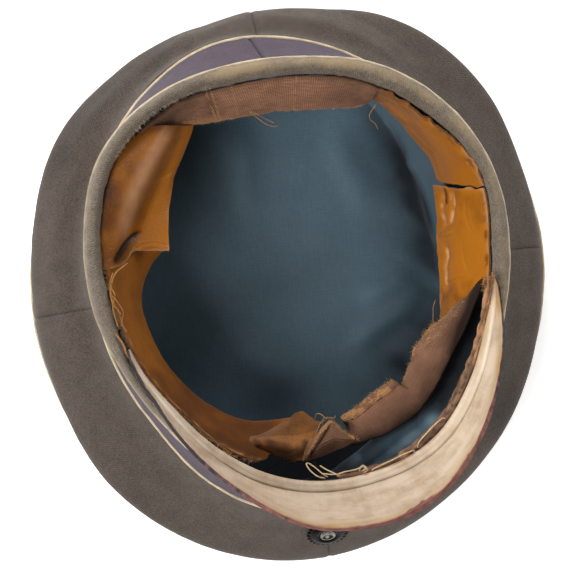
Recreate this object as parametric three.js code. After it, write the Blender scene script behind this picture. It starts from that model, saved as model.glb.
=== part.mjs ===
// A wool visor cap, old and worn, lying upside down on its crown with the head opening up.
// Millimetres, +Z up. The origin is on the flat rest of the crown, the visor points to -Y and
// the back of the cap to +Y. Angles run anticlockwise seen from above, from +X.
import * as THREE from "three";

// Thickness of each sheet, and the gap kept between neighbouring pieces.
const WOOL = 1.8;
const BAND_CLOTH = 1.5;
const FOLDED_WOOL = 2.0;
const LEATHER = 1.2;
const LINEN = 1.0;
const LINING_CLOTH = 1.0;
const VISOR_FIBRE = 1.8;
const GAP = 0.3;

// Cords sewn into the seams. CLEAR is how far the cloth stops short of a cord's centre.
const PIPING_RADIUS = 0.95;
const PIPING_SIDES = 6;
const PIPING_PROUD = 0.8;
const CLEAR = PIPING_RADIUS + GAP + 0.25;

// Crown, band and rim.
const EDGE_HEIGHT = 12;
const REST_SHARE = 0.62;
const BINDING_LEG = 9.5;
const LINING_HEIGHT = 3.9;
const STATIONS = 60;
const STEP = 360 / STATIONS;

// The cap all round. rim is the radius of the lower piping, fold its depth below the rim's crest
// and inside the radius of the rolled rim's inner face; seam is the radius of the upper piping;
// widest is the reach of the crown, tuck how far its edge piping hides under the side, ridge a soft
// fold round the side; crease and waist are the lining's radii at the bottom and at the seam.
const SECTION_COLUMNS = [
  "angle", "rim", "rimHeight", "fold", "inside", "seam", "seamHeight", "widest", "tuck", "ridge", "crease", "waist",
];
const SECTIONS = table(SECTION_COLUMNS, [
  [0, 99.2, 92, 8.0, 91.4, 97.5, 50, 126.0, 0.2, 0.0, 77.5, 84],
  [20, 103.7, 91, 8.0, 97.6, 101.0, 49, 129.0, 1.5, 0.3, 78.5, 88],
  [40, 106.0, 90, 8.0, 97.2, 104.5, 48, 136.5, 3.0, 0.8, 89, 96],
  [60, 105.4, 89, 8.0, 96.6, 108.5, 47, 139.5, 3.5, 1.2, 103, 102],
  [80, 101.9, 88, 8.0, 93.8, 114.3, 46, 133.6, 3.2, 1.6, 112, 106],
  [100, 102.5, 88, 8.0, 93.8, 118.0, 46, 131.0, 3.0, 1.6, 114, 108],
  [120, 105.7, 89, 8.0, 98.8, 112.8, 47, 132.8, 3.0, 1.2, 114, 104],
  [140, 106.2, 90, 8.0, 99.1, 105.0, 48, 133.0, 2.5, 1.0, 113, 98],
  [160, 99.8, 91, 8.0, 92.8, 98.0, 49, 128.0, 1.5, 0.8, 110, 92],
  [180, 94.9, 92, 8.0, 87.6, 93.5, 50, 125.7, 0.2, 0.8, 108, 88],
  [200, 91.2, 94, 6.5, 86.4, 92.6, 51, 126.4, 1.0, 0.8, 108, 88],
  [220, 91.6, 96, 5.0, 86.9, 94.8, 53, 131.0, 2.5, 0.6, 112, 91],
  [240, 96.6, 98, 4.4, 91.2, 103.0, 55, 134.0, 3.0, 0.3, 115, 96],
  [260, 101.3, 99, 4.4, 96.1, 109.4, 56, 135.2, 3.0, 0.0, 114, 96],
  [280, 103.7, 99, 4.4, 98.4, 112.5, 56, 133.3, 3.0, 0.0, 106, 88],
  [300, 104.2, 98, 4.4, 99.4, 110.0, 55, 129.8, 3.0, 0.0, 96, 80],
  [320, 100.3, 96, 5.0, 94.9, 102.5, 53, 127.0, 2.5, 0.0, 88, 78],
  [340, 96.8, 94, 6.5, 90.9, 97.5, 51, 125.3, 1.0, 0.0, 80, 80],
]);

// The visor. reach is the radius of its free edge and rise that edge's height over the rim.
const VISOR_ROWS = table(["angle", "reach", "rise"], [
  [196, 85.3, 2.5],
  [205, 86.4, 9],
  [215, 88.0, 18],
  [225, 91.2, 26],
  [235, 95.7, 32],
  [245, 101.2, 36],
  [255, 108.1, 38],
  [265, 114.2, 39],
  [275, 117.1, 39],
  [285, 117.3, 39],
  [295, 114.6, 38],
  [305, 109.5, 36],
  [315, 103.8, 31],
  [325, 99.3, 24],
  [335, 95.6, 16],
  [343, 92.9, 9],
  [351, 90.4, 2.5],
]);

// Torn strips inside the rim. inset and down place the edge sewn at the rim, from the rim's inner
// face and from its top; free and freeDown are the radius and depth of the loose edge, and belly
// lifts the middle of the strip inwards.
const STRIP_COLUMNS = ["angle", "inset", "down", "free", "freeDown", "belly"];
const SWEATBAND_LEFT_UPPER = table(STRIP_COLUMNS, [
  [112, 9.0, 30, 88.5, 41, 0],
  [121, 7.0, 22, 81.0, 41, 1],
  [131, 3.5, 9, 74.2, 39, 3],
  [140, 1.6, 6, 68.6, 38, 4],
  [150, 1.0, 5, 63.2, 38, 4],
  [160, 1.0, 5, 60.4, 38, 3],
  [172, 1.0, 6, 60.0, 38, 2],
]);
const SWEATBAND_LEFT_LOWER = table(STRIP_COLUMNS, [
  [158, 9.0, 19, 63.0, 45, 0],
  [168, 5.0, 12, 69.5, 44, 0],
  [180, 3.0, 7, 72.9, 43, 1],
  [195, 3.4, 7, 72.5, 44, 1],
  [211, 3.8, 8, 72.2, 45, 1],
  [228, 4.6, 10, 72.0, 46, 1],
  [244, 7.0, 14, 71.0, 47, 1],
  [262, 12.0, 22, 66.0, 47, 0],
]);
const SWEATBAND_RIGHT_UPPER = table(STRIP_COLUMNS, [
  [17, 1.2, 4, 78.5, 40, 1],
  [26, 1.2, 4, 84.0, 40, 1],
  [33, 1.2, 5, 87.5, 40, 1],
  [41, 2.4, 6, 89.0, 40, 1],
  [50, 2.4, 7, 91.6, 37, 0],
  [58, 1.4, 8, 93.3, 24, 0],
]);
const SWEATBAND_RIGHT_LOWER = table(STRIP_COLUMNS, [
  [-21, 1.6, 7, 72.0, 40, 2],
  [-8, 1.4, 6, 70.2, 40, 2],
  [6, 1.2, 5, 71.2, 40, 2],
  [16, 1.2, 4, 75.6, 40, 2],
  [26, 1.2, 4, 81.7, 40, 1],
]);
const LINEN_BACK = table(STRIP_COLUMNS, [
  [57, 1.0, 6, 93.6, 14, 0],
  [61, 1.0, 5, 87.3, 24, 0],
  [67, 1.0, 4, 83.6, 28, 0],
  [81, 1.1, 4, 80.0, 28, 1],
  [96, 1.1, 4, 80.0, 28, 1],
  [108, 1.1, 4, 82.8, 27, 1],
  [114, 1.1, 4, 85.9, 25, 1],
  [120, 1.1, 4, 90.8, 20, 0],
  [126, 1.1, 4, 95.6, 14, 0],
  [132, 1.1, 4, 97.0, 10, 0],
]);
const LINEN_FRONT = table(STRIP_COLUMNS, [
  [262, 9.7, 18, 67.0, 34, 2],
  [274, 12.8, 19, 67.5, 34, 2],
  [285, 14.8, 19, 66.4, 36, 2],
  [297, 14.4, 18, 65.1, 37, 2],
  [306, 12.6, 17, 69.0, 37, 2],
  [315, 11.8, 16, 67.8, 37, 2],
  [326, 11.2, 15, 64.8, 36, 3],
  [335, 9.9, 14, 69.8, 35, 3],
  [345, 5.2, 11, 73.0, 34, 2],
  [352, 3.4, 8, 74.0, 34, 2],
]);
const REMNANT = table(STRIP_COLUMNS, [
  [272, 3.3, -1.0, 94.0, 7, 0],
  [285, 3.3, -1.0, 94.6, 7, 0],
  [300, 3.3, -1.0, 93.4, 7, 0],
  [310, 3.3, -1.0, 90.6, 7, 0],
  [320, 3.3, -1.0, 87.3, 7, 0],
  [333, 3.3, -1.0, 85.2, 7, 0],
  [345, 3.3, -1.0, 83.8, 7, 0],
  [352, 3.3, -1.0, 84.6, 7, 0],
]);
const SUEDE_FLAP = table(STRIP_COLUMNS, [
  [244, 8.2, 12, 80.5, 19, 0],
  [249, 7.8, 12, 77.0, 21, 1],
  [256, 7.6, 13, 71.8, 23, 3],
  [263, 9.4, 15, 67.0, 25, 4],
  [268, 10.6, 15, 64.8, 26, 4],
]);

// Angles at which each strip begins and ends, at the edge near the rim and at its loose edge.
const STRIPS = [
  { name: "sweatband_left_upper", rows: SWEATBAND_LEFT_UPPER, rim: [114, 170], free: [114, 160.5], steps: 14 },
  { name: "sweatband_left_lower", rows: SWEATBAND_LEFT_LOWER, rim: [172, 252], free: [163, 262], steps: 20 },
  { name: "sweatband_right_upper", rows: SWEATBAND_RIGHT_UPPER, rim: [17.6, 57.5], free: [26.6, 57.5], steps: 12 },
  { name: "sweatband_right_lower", rows: SWEATBAND_RIGHT_LOWER, rim: [-5.5, 16.6], free: [-20.5, 25.6], steps: 12 },
  { name: "linen_back", rows: LINEN_BACK, rim: [59.5, 131], free: [59.5, 127], steps: 18 },
  { name: "linen_front", rows: LINEN_FRONT, rim: [268, 351], free: [272, 336], steps: 22 },
  { name: "sweatband_remnant", rows: REMNANT, rim: [273, 350], free: [273, 350], steps: 18 },
  { name: "suede_flap", rows: SUEDE_FLAP, rim: [246, 264], free: [244.5, 267], steps: 8 },
];
const STRIP_ACROSS = 3;
const SIDE_ACROSS = 5;
const PANEL_HALF_GAP = 0.095;

// The cockade: where it lies round the cap and down the side, then outlines as [radius, height].
const COCKADE_ANGLE = 269;
const COCKADE_DOWN = 0.42;
const COCKADE_CLEAR = 0.85;
const COCKADE_TEETH = 24;
const COCKADE_TOOTH = 0.6;
const COCKADE_TOOTHED_FROM = 8.5;
const COCKADE_RING = [
  [4.2, 0], [9.4, 0], [9.4, 0.7], [7.6, 1.1], [5.4, 1.9], [4.2, 1.7], [4.2, 0],
];
const COCKADE_BOSS = [
  [0, 0.2], [3.85, 0.2], [3.85, 1.6], [3.2, 2.5], [1.8, 3.1], [0, 3.3],
];

// Colours, and how rough and metallic each material is.
const GREY_WOOL = material("#6b625b", 0.95);
const WORN_WOOL = material("#857c6f", 0.95);
const VIOLET_CLOTH = material("#5c5368", 0.9);
const CREAM_CORD = material("#d9c4a6", 0.85);
const TEAL_COTTON = material("#2c4450", 0.75);
const TAN_LEATHER = material("#b06a1f", 0.4);
const SUEDE = material("#8a5a2c", 0.9);
const BROWN_LINEN = material("#75553f", 0.9);
const CREAM_FIBRE = material("#cdb99b", 0.6);
const BLACK_METAL = material("#2d2a28", 0.5, 0.6);
const SILVER = material("#c9c4ba", 0.25, 1.0);

function material(color, roughness, metalness = 0) {
  return new THREE.MeshStandardMaterial({ color, roughness, metalness });
}

// Rows of numbers as objects with the named columns.
function table(columns, rows) {
  return rows.map((row) => Object.fromEntries(columns.map((name, i) => [name, row[i]])));
}

// A column's value at an angle, on a smooth curve through the rows.
function read(rows, column, angle) {
  let i = rows.findIndex((row) => row.angle > angle) - 1;
  if (i < -1) i = rows.length - 2;
  i = Math.max(i, 0);
  const at = (k) => rows[THREE.MathUtils.clamp(k, 0, rows.length - 1)];
  const slope = (k) => (at(k + 1)[column] - at(k - 1)[column]) / (at(k + 1).angle - at(k - 1).angle);
  const width = at(i + 1).angle - at(i).angle;
  const t = (angle - at(i).angle) / width;
  const a = at(i)[column];
  const b = at(i + 1)[column];
  const ma = slope(i) * width;
  const mb = slope(i + 1) * width;
  return a + t * (ma + t * (3 * (b - a) - 2 * ma - mb + t * (2 * (a - b) + ma + mb)));
}

const TURN = 360;
const WRAPPED = [
  ...SECTIONS.slice(-2).map((row) => ({ ...row, angle: row.angle - TURN })),
  ...SECTIONS,
  ...SECTIONS.slice(0, 2).map((row) => ({ ...row, angle: row.angle + TURN })),
];

// All the columns of the cap's section at an angle.
function sectionAt(angle) {
  const turned = THREE.MathUtils.euclideanModulo(angle, TURN);
  return Object.fromEntries(SECTION_COLUMNS.map((name) => [name, read(WRAPPED, name, turned)]));
}

const point = (radius, height) => new THREE.Vector2(radius, height);

// The points of a smooth line through the given ones, spaced evenly.
const smooth = (points, count) => new THREE.SplineCurve(points).getSpacedPoints(count);

// A line moved so that it starts and ends the given lengths inside its ends.
function trimmed(points, start, end, count) {
  const curve = new THREE.SplineCurve(points);
  const length = curve.getLength();
  const from = start / length;
  const to = 1 - end / length;
  return Array.from({ length: count + 1 }, (_, i) => curve.getPointAt(from + ((to - from) * i) / count));
}

// Normals of a section line, to its left.
function normals(line) {
  return line.map((_, i) => {
    const along = line[Math.min(i + 1, line.length - 1)].clone().sub(line[Math.max(i - 1, 0)]).normalize();
    return point(-along.y, along.x);
  });
}

// The closed outline of a section line that has a thickness.
function thick(line, thickness) {
  const side = normals(line);
  const offset = (share) => line.map((p, i) => p.clone().addScaledVector(side[i], share * thickness));
  return [...offset(-0.5), ...offset(0.5).reverse()];
}

function circle(centre, radius, sides) {
  return Array.from({ length: sides }, (_, i) => {
    const turn = (2 * Math.PI * i) / sides;
    return point(centre.x + radius * Math.cos(turn), centre.y + radius * Math.sin(turn));
  });
}

function polar(angle, p) {
  const turn = THREE.MathUtils.degToRad(angle);
  return new THREE.Vector3(p.x * Math.cos(turn), p.x * Math.sin(turn), p.y);
}

// A disc or a ring right round the cap: a lathe whose outline is drawn anew at each angle.
function ring(outlineAt, closes) {
  const drawn = (angle) => (closes ? [...outlineAt(angle), outlineAt(angle)[0]] : outlineAt(angle));
  const count = drawn(0).length;
  const geometry = new THREE.LatheGeometry(drawn(0), STATIONS);
  for (let i = 0; i <= STATIONS; i++) {
    const angle = (i % STATIONS) * STEP;
    drawn(angle).forEach((p, j) => {
      const { x, y, z } = polar(angle, p);
      geometry.attributes.position.setXYZ(i * count + j, x, y, z);
    });
  }
  return geometry;
}

// A strip part of the way round: a flat box bent to the section lines, with ends that may slant.
// rim and free are its first and last angles at the two long edges.
function strip(lineAt, { rim, free, steps, across, thickness }) {
  const geometry = new THREE.BoxGeometry(1, 1, 1, steps, across, 1);
  const position = geometry.attributes.position;
  for (let i = 0; i < position.count; i++) {
    const along = position.getX(i) + 0.5;
    const over = position.getY(i) + 0.5;
    const first = THREE.MathUtils.lerp(rim[0], free[0], over);
    const last = THREE.MathUtils.lerp(rim[1], free[1], over);
    const angle = THREE.MathUtils.lerp(first, last, along);
    const line = lineAt(angle);
    const j = Math.round(over * across);
    const p = line[j].clone().addScaledVector(normals(line)[j], -position.getZ(i) * thickness);
    const { x, y, z } = polar(angle, p);
    position.setXYZ(i, x, y, z);
  }
  return geometry;
}

// The crown's top: flat where it rests, then up to its edge.
function topLine(angle) {
  const { widest, tuck } = sectionAt(angle);
  const edge = widest - tuck;
  const half = WOOL / 2;
  const flat = widest * REST_SHARE;
  const lip = new THREE.SplineCurve([
    point(flat, half),
    point(flat + 0.45 * (edge - flat), half + 0.5),
    point(edge - 6, 4.2),
    point(edge - 0.4, 7.8),
    point(edge - 0.3, EDGE_HEIGHT - CLEAR + 0.3),
  ]);
  return [point(0, half), ...lip.getSpacedPoints(5)];
}

// The crown's side, from the seam with the band out to the crown's edge.
function sideLine(angle) {
  const { seam, seamHeight, widest, tuck, ridge } = sectionAt(angle);
  const span = widest - seam;
  const drop = seamHeight - EDGE_HEIGHT;
  return trimmed(
    [
      point(seam, seamHeight),
      point(seam + 0.25 * span - 0.6 * ridge, seamHeight - 0.28 * drop),
      point(seam + 0.58 * span + 0.7 * ridge, seamHeight - 0.52 * drop),
      point(widest - WOOL / 2 - Math.max(0, 2.5 - tuck), EDGE_HEIGHT + 9),
      point(widest - tuck - 0.6, EDGE_HEIGHT),
    ],
    CLEAR + 0.25,
    CLEAR + 0.2,
    SIDE_ACROSS,
  );
}

function crownPipingCentre(angle) {
  const { widest, tuck } = sectionAt(angle);
  return point(widest - tuck - 0.3 + PIPING_PROUD, EDGE_HEIGHT);
}

function upperPipingCentre(angle) {
  const { seam, seamHeight } = sectionAt(angle);
  return point(seam + PIPING_PROUD, seamHeight);
}

function lowerPipingCentre(angle) {
  const { rim, rimHeight, fold } = sectionAt(angle);
  return point(rim, rimHeight - fold);
}

// The band, straight up from one piping to the other.
function bandLine(angle) {
  const bottom = upperPipingCentre(angle);
  const top = lowerPipingCentre(angle);
  const inwards = point(-PIPING_PROUD, 0);
  return trimmed([bottom.add(inwards), top.add(inwards)], CLEAR - 0.2, CLEAR + 0.1, 1);
}

// The folded wool over the rim, open below.
function bindingLine(angle) {
  const { rim, inside, rimHeight, fold } = sectionAt(angle);
  const outer = rim - 0.1 - FOLDED_WOOL / 2;
  const inner = inside + FOLDED_WOOL / 2;
  const width = outer - inner;
  const crest = rimHeight - FOLDED_WOOL / 2;
  return smooth(
    [
      point(outer, rimHeight - fold + CLEAR - 0.3),
      point(outer - 0.1 * width, crest - 0.3 * fold),
      point(inner + 0.5 * width, crest),
      point(inner, crest - 2.2),
      point(inner, crest - 5),
      point(inner, rimHeight - BINDING_LEG),
    ],
    5,
  );
}

// The lining: a loose bag with a flat bottom, hung from the rim.
function liningLine(angle) {
  const { inside, rimHeight, seamHeight, crease, waist } = sectionAt(angle);
  const top = rimHeight - BINDING_LEG - 2 * GAP;
  const wall = new THREE.SplineCurve([
    point(crease, LINING_HEIGHT + 1.5),
    point(crease + 0.3 * (waist - crease) + 1.5, LINING_HEIGHT + 0.3 * (seamHeight - LINING_HEIGHT)),
    point(waist, seamHeight),
    point((waist + inside + 1) / 2, (seamHeight + top) / 2),
    point(inside + 1, top),
  ]);
  return [point(0, LINING_HEIGHT), point(crease - 5, LINING_HEIGHT), ...wall.getSpacedPoints(4)];
}

// The visor: a sewing flange inside the rim, a bead, and the sloping plate.
function visorLine(angle) {
  const { inside, rimHeight } = sectionAt(angle);
  const reach = read(VISOR_ROWS, "reach", angle);
  const rise = read(VISOR_ROWS, "rise", angle);
  const root = inside - 2 * GAP - VISOR_FIBRE / 2;
  const base = rimHeight + 0.6;
  const edge = point(reach, base + rise);
  const bead = Math.min(1, rise / 20);
  const spread = Math.min(1, Math.max(reach - root, 0) / 12);
  const fold = point(root + 3.4 * spread, base + 3.4 * bead);
  const plate = point(root + 5.4 * spread, base + 6.4 * bead);
  const middle = plate.clone().lerp(edge, 0.5);
  middle.x += 0.04 * rise;
  return [
    point(root, rimHeight - BINDING_LEG),
    point(root, base - 3),
    point(root + 0.5 * spread, base + 0.9 * bead),
    fold,
    plate,
    middle,
    edge,
  ];
}

// A torn strip, from the edge near the rim to its loose edge.
function stripLine(rows, angle) {
  const { inside, rimHeight } = sectionAt(angle);
  const value = (column) => read(rows, column, angle);
  const sewn = point(inside - value("inset"), rimHeight - value("down"));
  const loose = point(value("free"), rimHeight - value("freeDown"));
  const middle = sewn.clone().lerp(loose, 0.5);
  middle.x -= value("belly");
  middle.y += 0.5 * value("belly");
  return smooth([sewn, middle, loose], STRIP_ACROSS);
}

const cap = new THREE.Group();

function add(name, geometry, look) {
  const mesh = new THREE.Mesh(geometry, look);
  mesh.name = name;
  cap.add(mesh);
  return mesh;
}

add("crown_top", ring((angle) => thick(topLine(angle), WOOL), false), GREY_WOOL);

// Four side panels that meet at the front, back and side seams.
const PANELS = { side_back_right: 0, side_back_left: 90, side_front_left: 180, side_front_right: 270 };
for (const [name, start] of Object.entries(PANELS)) {
  const ends = [start + PANEL_HALF_GAP, start + 90 - PANEL_HALF_GAP];
  const shape = { rim: ends, free: ends, steps: 90 / STEP, across: SIDE_ACROSS, thickness: WOOL };
  add(name, strip(sideLine, shape), GREY_WOOL);
}

const PIPINGS = {
  crown_piping: crownPipingCentre,
  upper_piping: upperPipingCentre,
  lower_piping: lowerPipingCentre,
};
for (const [name, centre] of Object.entries(PIPINGS)) {
  add(name, ring((angle) => circle(centre(angle), PIPING_RADIUS, PIPING_SIDES), true), CREAM_CORD);
}

add("band", ring((angle) => thick(bandLine(angle), BAND_CLOTH), true), VIOLET_CLOTH);
add("rim_binding", ring((angle) => thick(bindingLine(angle), FOLDED_WOOL), true), WORN_WOOL);
add("lining", ring((angle) => thick(liningLine(angle), LINING_CLOTH), false), TEAL_COTTON);

const VISOR_ENDS = [VISOR_ROWS[0].angle, VISOR_ROWS.at(-1).angle];
const VISOR_SHAPE = { rim: VISOR_ENDS, free: VISOR_ENDS, steps: 28, across: 6, thickness: VISOR_FIBRE };
add("visor", strip(visorLine, VISOR_SHAPE), CREAM_FIBRE);

const STRIP_LOOKS = { sweatband: [TAN_LEATHER, LEATHER], linen: [BROWN_LINEN, LINEN], suede: [SUEDE, LEATHER] };
for (const { name, rows, ...shape } of STRIPS) {
  const [look, thickness] = STRIP_LOOKS[name.split("_")[0]];
  add(name, strip((angle) => stripLine(rows, angle), { ...shape, across: STRIP_ACROSS, thickness }), look);
}

// The cockade lies on the front of the crown: a toothed ring round a dome, both facing outwards.
const front = sideLine(COCKADE_ANGLE);
const seat = new THREE.SplineCurve(front).getPointAt(COCKADE_DOWN);
const tangent = new THREE.SplineCurve(front).getTangentAt(COCKADE_DOWN);
const outwards = polar(COCKADE_ANGLE, point(-tangent.y, tangent.x));
const place = polar(COCKADE_ANGLE, seat).addScaledVector(outwards, WOOL / 2 + COCKADE_CLEAR);
const facing = new THREE.Quaternion().setFromUnitVectors(new THREE.Vector3(0, 1, 0), outwards);

// A round piece turned about the cockade's middle, from [radius, height] pairs.
function cockadePiece(name, profile, segments, look) {
  const geometry = new THREE.LatheGeometry(profile.map(([r, h]) => point(r, h)), segments);
  const mesh = add(name, geometry, look);
  mesh.quaternion.copy(facing);
  mesh.position.copy(place);
  return geometry;
}

const ringShape = cockadePiece("cockade_ring", COCKADE_RING, 2 * COCKADE_TEETH, BLACK_METAL);
const corners = ringShape.attributes.position;
for (let i = 0; i < corners.count; i++) {
  const tooth = Math.floor(i / COCKADE_RING.length) % 2;
  const radius = Math.hypot(corners.getX(i), corners.getZ(i));
  if (tooth && radius > COCKADE_TOOTHED_FROM) {
    const shrink = 1 - COCKADE_TOOTH / radius;
    corners.setXYZ(i, corners.getX(i) * shrink, corners.getY(i), corners.getZ(i) * shrink);
  }
}
cockadePiece("cockade_boss", COCKADE_BOSS, 20, SILVER);

export default cap;
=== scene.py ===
"""A wool visor cap, old and worn, lying upside down on its crown with the head opening up.

The pieces are cut and bent the way a cap maker's are: each cloth or leather piece is a sheet drawn
along section lines that run from the crown to the rim, right round the cap. Lines are worked out in
millimetres and angles in degrees, anticlockwise from +X seen from above, and turned to metres at the end.
"""

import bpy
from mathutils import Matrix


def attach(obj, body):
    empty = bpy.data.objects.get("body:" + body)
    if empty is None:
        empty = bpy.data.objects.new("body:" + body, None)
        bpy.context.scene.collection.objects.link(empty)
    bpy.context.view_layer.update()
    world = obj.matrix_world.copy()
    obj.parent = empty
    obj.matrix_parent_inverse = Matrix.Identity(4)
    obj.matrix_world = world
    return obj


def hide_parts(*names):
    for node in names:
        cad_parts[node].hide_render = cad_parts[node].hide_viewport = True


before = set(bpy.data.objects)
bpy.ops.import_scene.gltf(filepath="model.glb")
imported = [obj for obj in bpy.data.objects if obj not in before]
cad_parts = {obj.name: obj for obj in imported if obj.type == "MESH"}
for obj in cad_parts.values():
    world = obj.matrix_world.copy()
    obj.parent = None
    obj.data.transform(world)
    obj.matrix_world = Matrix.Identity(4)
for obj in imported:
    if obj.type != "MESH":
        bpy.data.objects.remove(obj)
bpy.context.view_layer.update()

import math
from functools import partial

import bpy
import numpy as np
from bpy.props import FloatProperty, FloatVectorProperty, PointerProperty
from mathutils import Matrix, Vector

bl_info = {
    "name": "Worn Visor Cap",
    "version": (1, 0, 0),
    "blender": (4, 5, 0),
    "location": "View3D > Sidebar > Visor Cap",
    "description": "Adds the cloth, leather, cord and metal pieces of an old visor cap",
    "category": "Add Mesh",
}


def linear(code):
    """An sRGB hex colour as linear red, green, blue and alpha."""
    shares = [int(code[i : i + 2], 16) / 255 for i in (1, 3, 5)]
    return (*[c / 12.92 if c <= 0.04045 else ((c + 0.055) / 1.055) ** 2.4 for c in shares], 1.0)


# --- Sections of the cap -------------------------------------------------------------------------

MM = 0.001
# The slack left between two pieces that lie together.
GAP = 0.3
# How far the pipings stand out of their seams.
PIPING_PROUD = 0.8
# The height of the crown's edge, and how much of the crown's top lies flat on the table.
EDGE_HEIGHT = 12
REST_SHARE = 0.62
# How far the folded binding reaches down inside the rim.
BINDING_LEG = 9.5
LINING_HEIGHT = 3.9
# The radius at which the torn strips inside the rim are measured.
STRIP_RADIUS = 88

# The cap all round. rim is the radius of the lower piping, fold its depth below the rim's crest
# and inside the radius of the rolled rim's inner face; seam is the radius of the upper piping;
# widest is the reach of the crown, tuck how far its edge piping hides under the side, ridge a soft
# fold round the side; crease and waist are the lining's radii at the bottom and at the seam.
SECTION_COLUMNS = [
    "angle", "rim", "rimHeight", "fold", "inside", "seam", "seamHeight",
    "widest", "tuck", "ridge", "crease", "waist",
]
SECTIONS = np.array([
    [0, 99.2, 92, 8.0, 91.4, 97.5, 50, 126.0, 0.2, 0.0, 77.5, 84],
    [20, 103.7, 91, 8.0, 97.6, 101.0, 49, 129.0, 1.5, 0.3, 78.5, 88],
    [40, 106.0, 90, 8.0, 97.2, 104.5, 48, 136.5, 3.0, 0.8, 89, 96],
    [60, 105.4, 89, 8.0, 96.6, 108.5, 47, 139.5, 3.5, 1.2, 103, 102],
    [80, 101.9, 88, 8.0, 93.8, 114.3, 46, 133.6, 3.2, 1.6, 112, 106],
    [100, 102.5, 88, 8.0, 93.8, 118.0, 46, 131.0, 3.0, 1.6, 114, 108],
    [120, 105.7, 89, 8.0, 98.8, 112.8, 47, 132.8, 3.0, 1.2, 114, 104],
    [140, 106.2, 90, 8.0, 99.1, 105.0, 48, 133.0, 2.5, 1.0, 113, 98],
    [160, 99.8, 91, 8.0, 92.8, 98.0, 49, 128.0, 1.5, 0.8, 110, 92],
    [180, 94.9, 92, 8.0, 87.6, 93.5, 50, 125.7, 0.2, 0.8, 108, 88],
    [200, 91.2, 94, 6.5, 86.4, 92.6, 51, 126.4, 1.0, 0.8, 108, 88],
    [220, 91.6, 96, 5.0, 86.9, 94.8, 53, 131.0, 2.5, 0.6, 112, 91],
    [240, 96.6, 98, 4.4, 91.2, 103.0, 55, 134.0, 3.0, 0.3, 115, 96],
    [260, 101.3, 99, 4.4, 96.1, 109.4, 56, 135.2, 3.0, 0.0, 114, 96],
    [280, 103.7, 99, 4.4, 98.4, 112.5, 56, 133.3, 3.0, 0.0, 106, 88],
    [300, 104.2, 98, 4.4, 99.4, 110.0, 55, 129.8, 3.0, 0.0, 96, 80],
    [320, 100.3, 96, 5.0, 94.9, 102.5, 53, 127.0, 2.5, 0.0, 88, 78],
    [340, 96.8, 94, 6.5, 90.9, 97.5, 51, 125.3, 1.0, 0.0, 80, 80],
])
WRAPPED = np.vstack([SECTIONS[-2:], SECTIONS, SECTIONS[:2]])
WRAPPED[:2, 0] -= 360
WRAPPED[-2:, 0] += 360

# The visor. The middle column is the radius of its free edge, the last its height over the rim.
VISOR_EDGE = np.array([
    [196, 85.3, 2.5], [205, 86.4, 9], [215, 88.0, 18], [225, 91.2, 26], [235, 95.7, 32],
    [245, 101.2, 36], [255, 107.8, 38], [265, 113.3, 39], [275, 116.0, 39], [285, 116.8, 39],
    [295, 114.6, 38], [305, 109.5, 36], [315, 103.8, 31], [325, 99.3, 24], [335, 95.6, 16],
    [343, 92.9, 9], [351, 90.4, 2.5],
])

# Torn strips inside the rim, one row for each angle. The next two columns place the edge sewn at the
# rim, inwards from the rim's inner face and down from its top; then come the radius and depth of the
# loose edge, and how far the middle of the strip lifts inwards. rim and free are the angles between
# which the sewn edge and the loose edge run.
STRIPS = {
    "sweatband_left_lower": dict(rim=(168, 250), free=(157, 266), rows=np.array([
        [156, 5.0, 16, 61.5, 45, 0], [168, 2.4, 9, 69.0, 44, 0], [180, 2.2, 7, 72.9, 43, 1],
        [195, 3.4, 7, 72.5, 44, 1], [211, 3.8, 8, 72.2, 45, 1], [228, 4.6, 10, 72.0, 46, 1],
        [244, 5.0, 12, 71.0, 47, 1], [258, 8.0, 17, 66.6, 47, 0], [268, 10.0, 21, 64.4, 44, 0],
    ])),
    "sweatband_right_upper": dict(rim=(17.3, 61), free=(26.2, 61), rows=np.array([
        [17, 1.2, 4, 78.5, 40, 1], [26, 1.2, 4, 84.0, 40, 1], [33, 1.2, 5, 87.5, 40, 1], [41, 2.4, 6, 89.0, 40, 1],
        [50, 2.4, 7, 91.6, 37, 0], [58, 1.4, 8, 92.6, 25, 0], [62, 1.2, 8, 88.6, 25, 0],
    ])),
    "sweatband_right_lower": dict(rim=(-9.5, 16.8), free=(-24, 25.9), rows=np.array([
        [-25, 1.6, 7, 72.6, 40, 2], [-8, 1.4, 6, 70.2, 40, 2], [6, 1.2, 5, 71.2, 40, 2], [16, 1.2, 4, 75.6, 40, 2],
        [26, 1.2, 4, 81.7, 40, 1],
    ])),
    "linen_back": dict(rim=(58.2, 131), free=(58.8, 127), rows=np.array([
        [57, 1.0, 6, 93.6, 14, 0], [61, 1.0, 5, 87.3, 24, 0], [67, 1.0, 4, 83.6, 28, 0], [81, 1.1, 4, 80.0, 28, 1],
        [96, 1.1, 4, 80.0, 28, 1], [108, 1.1, 4, 82.8, 27, 1], [114, 1.1, 4, 85.9, 25, 1], [120, 1.1, 4, 90.8, 20, 0],
        [126, 1.1, 4, 95.6, 14, 0], [132, 1.1, 4, 97.0, 10, 0],
    ])),
    "sweatband_remnant": dict(rim=(273, 352), free=(273, 351), rows=np.array([
        [272, 3.3, -1.0, 94.0, 7, 0], [285, 3.3, -1.0, 94.6, 7, 0], [300, 3.3, -1.0, 93.4, 7, 0],
        [310, 3.3, -1.0, 91.4, 6, 0], [320, 3.1, -1.2, 88.9, 6, 0], [333, 2.7, -1.8, 86.9, 5, 0],
        [345, 1.6, -3.0, 86.2, 4, 0], [352, 0.4, -4.0, 87.2, 3, 0],
    ])),
}


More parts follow.
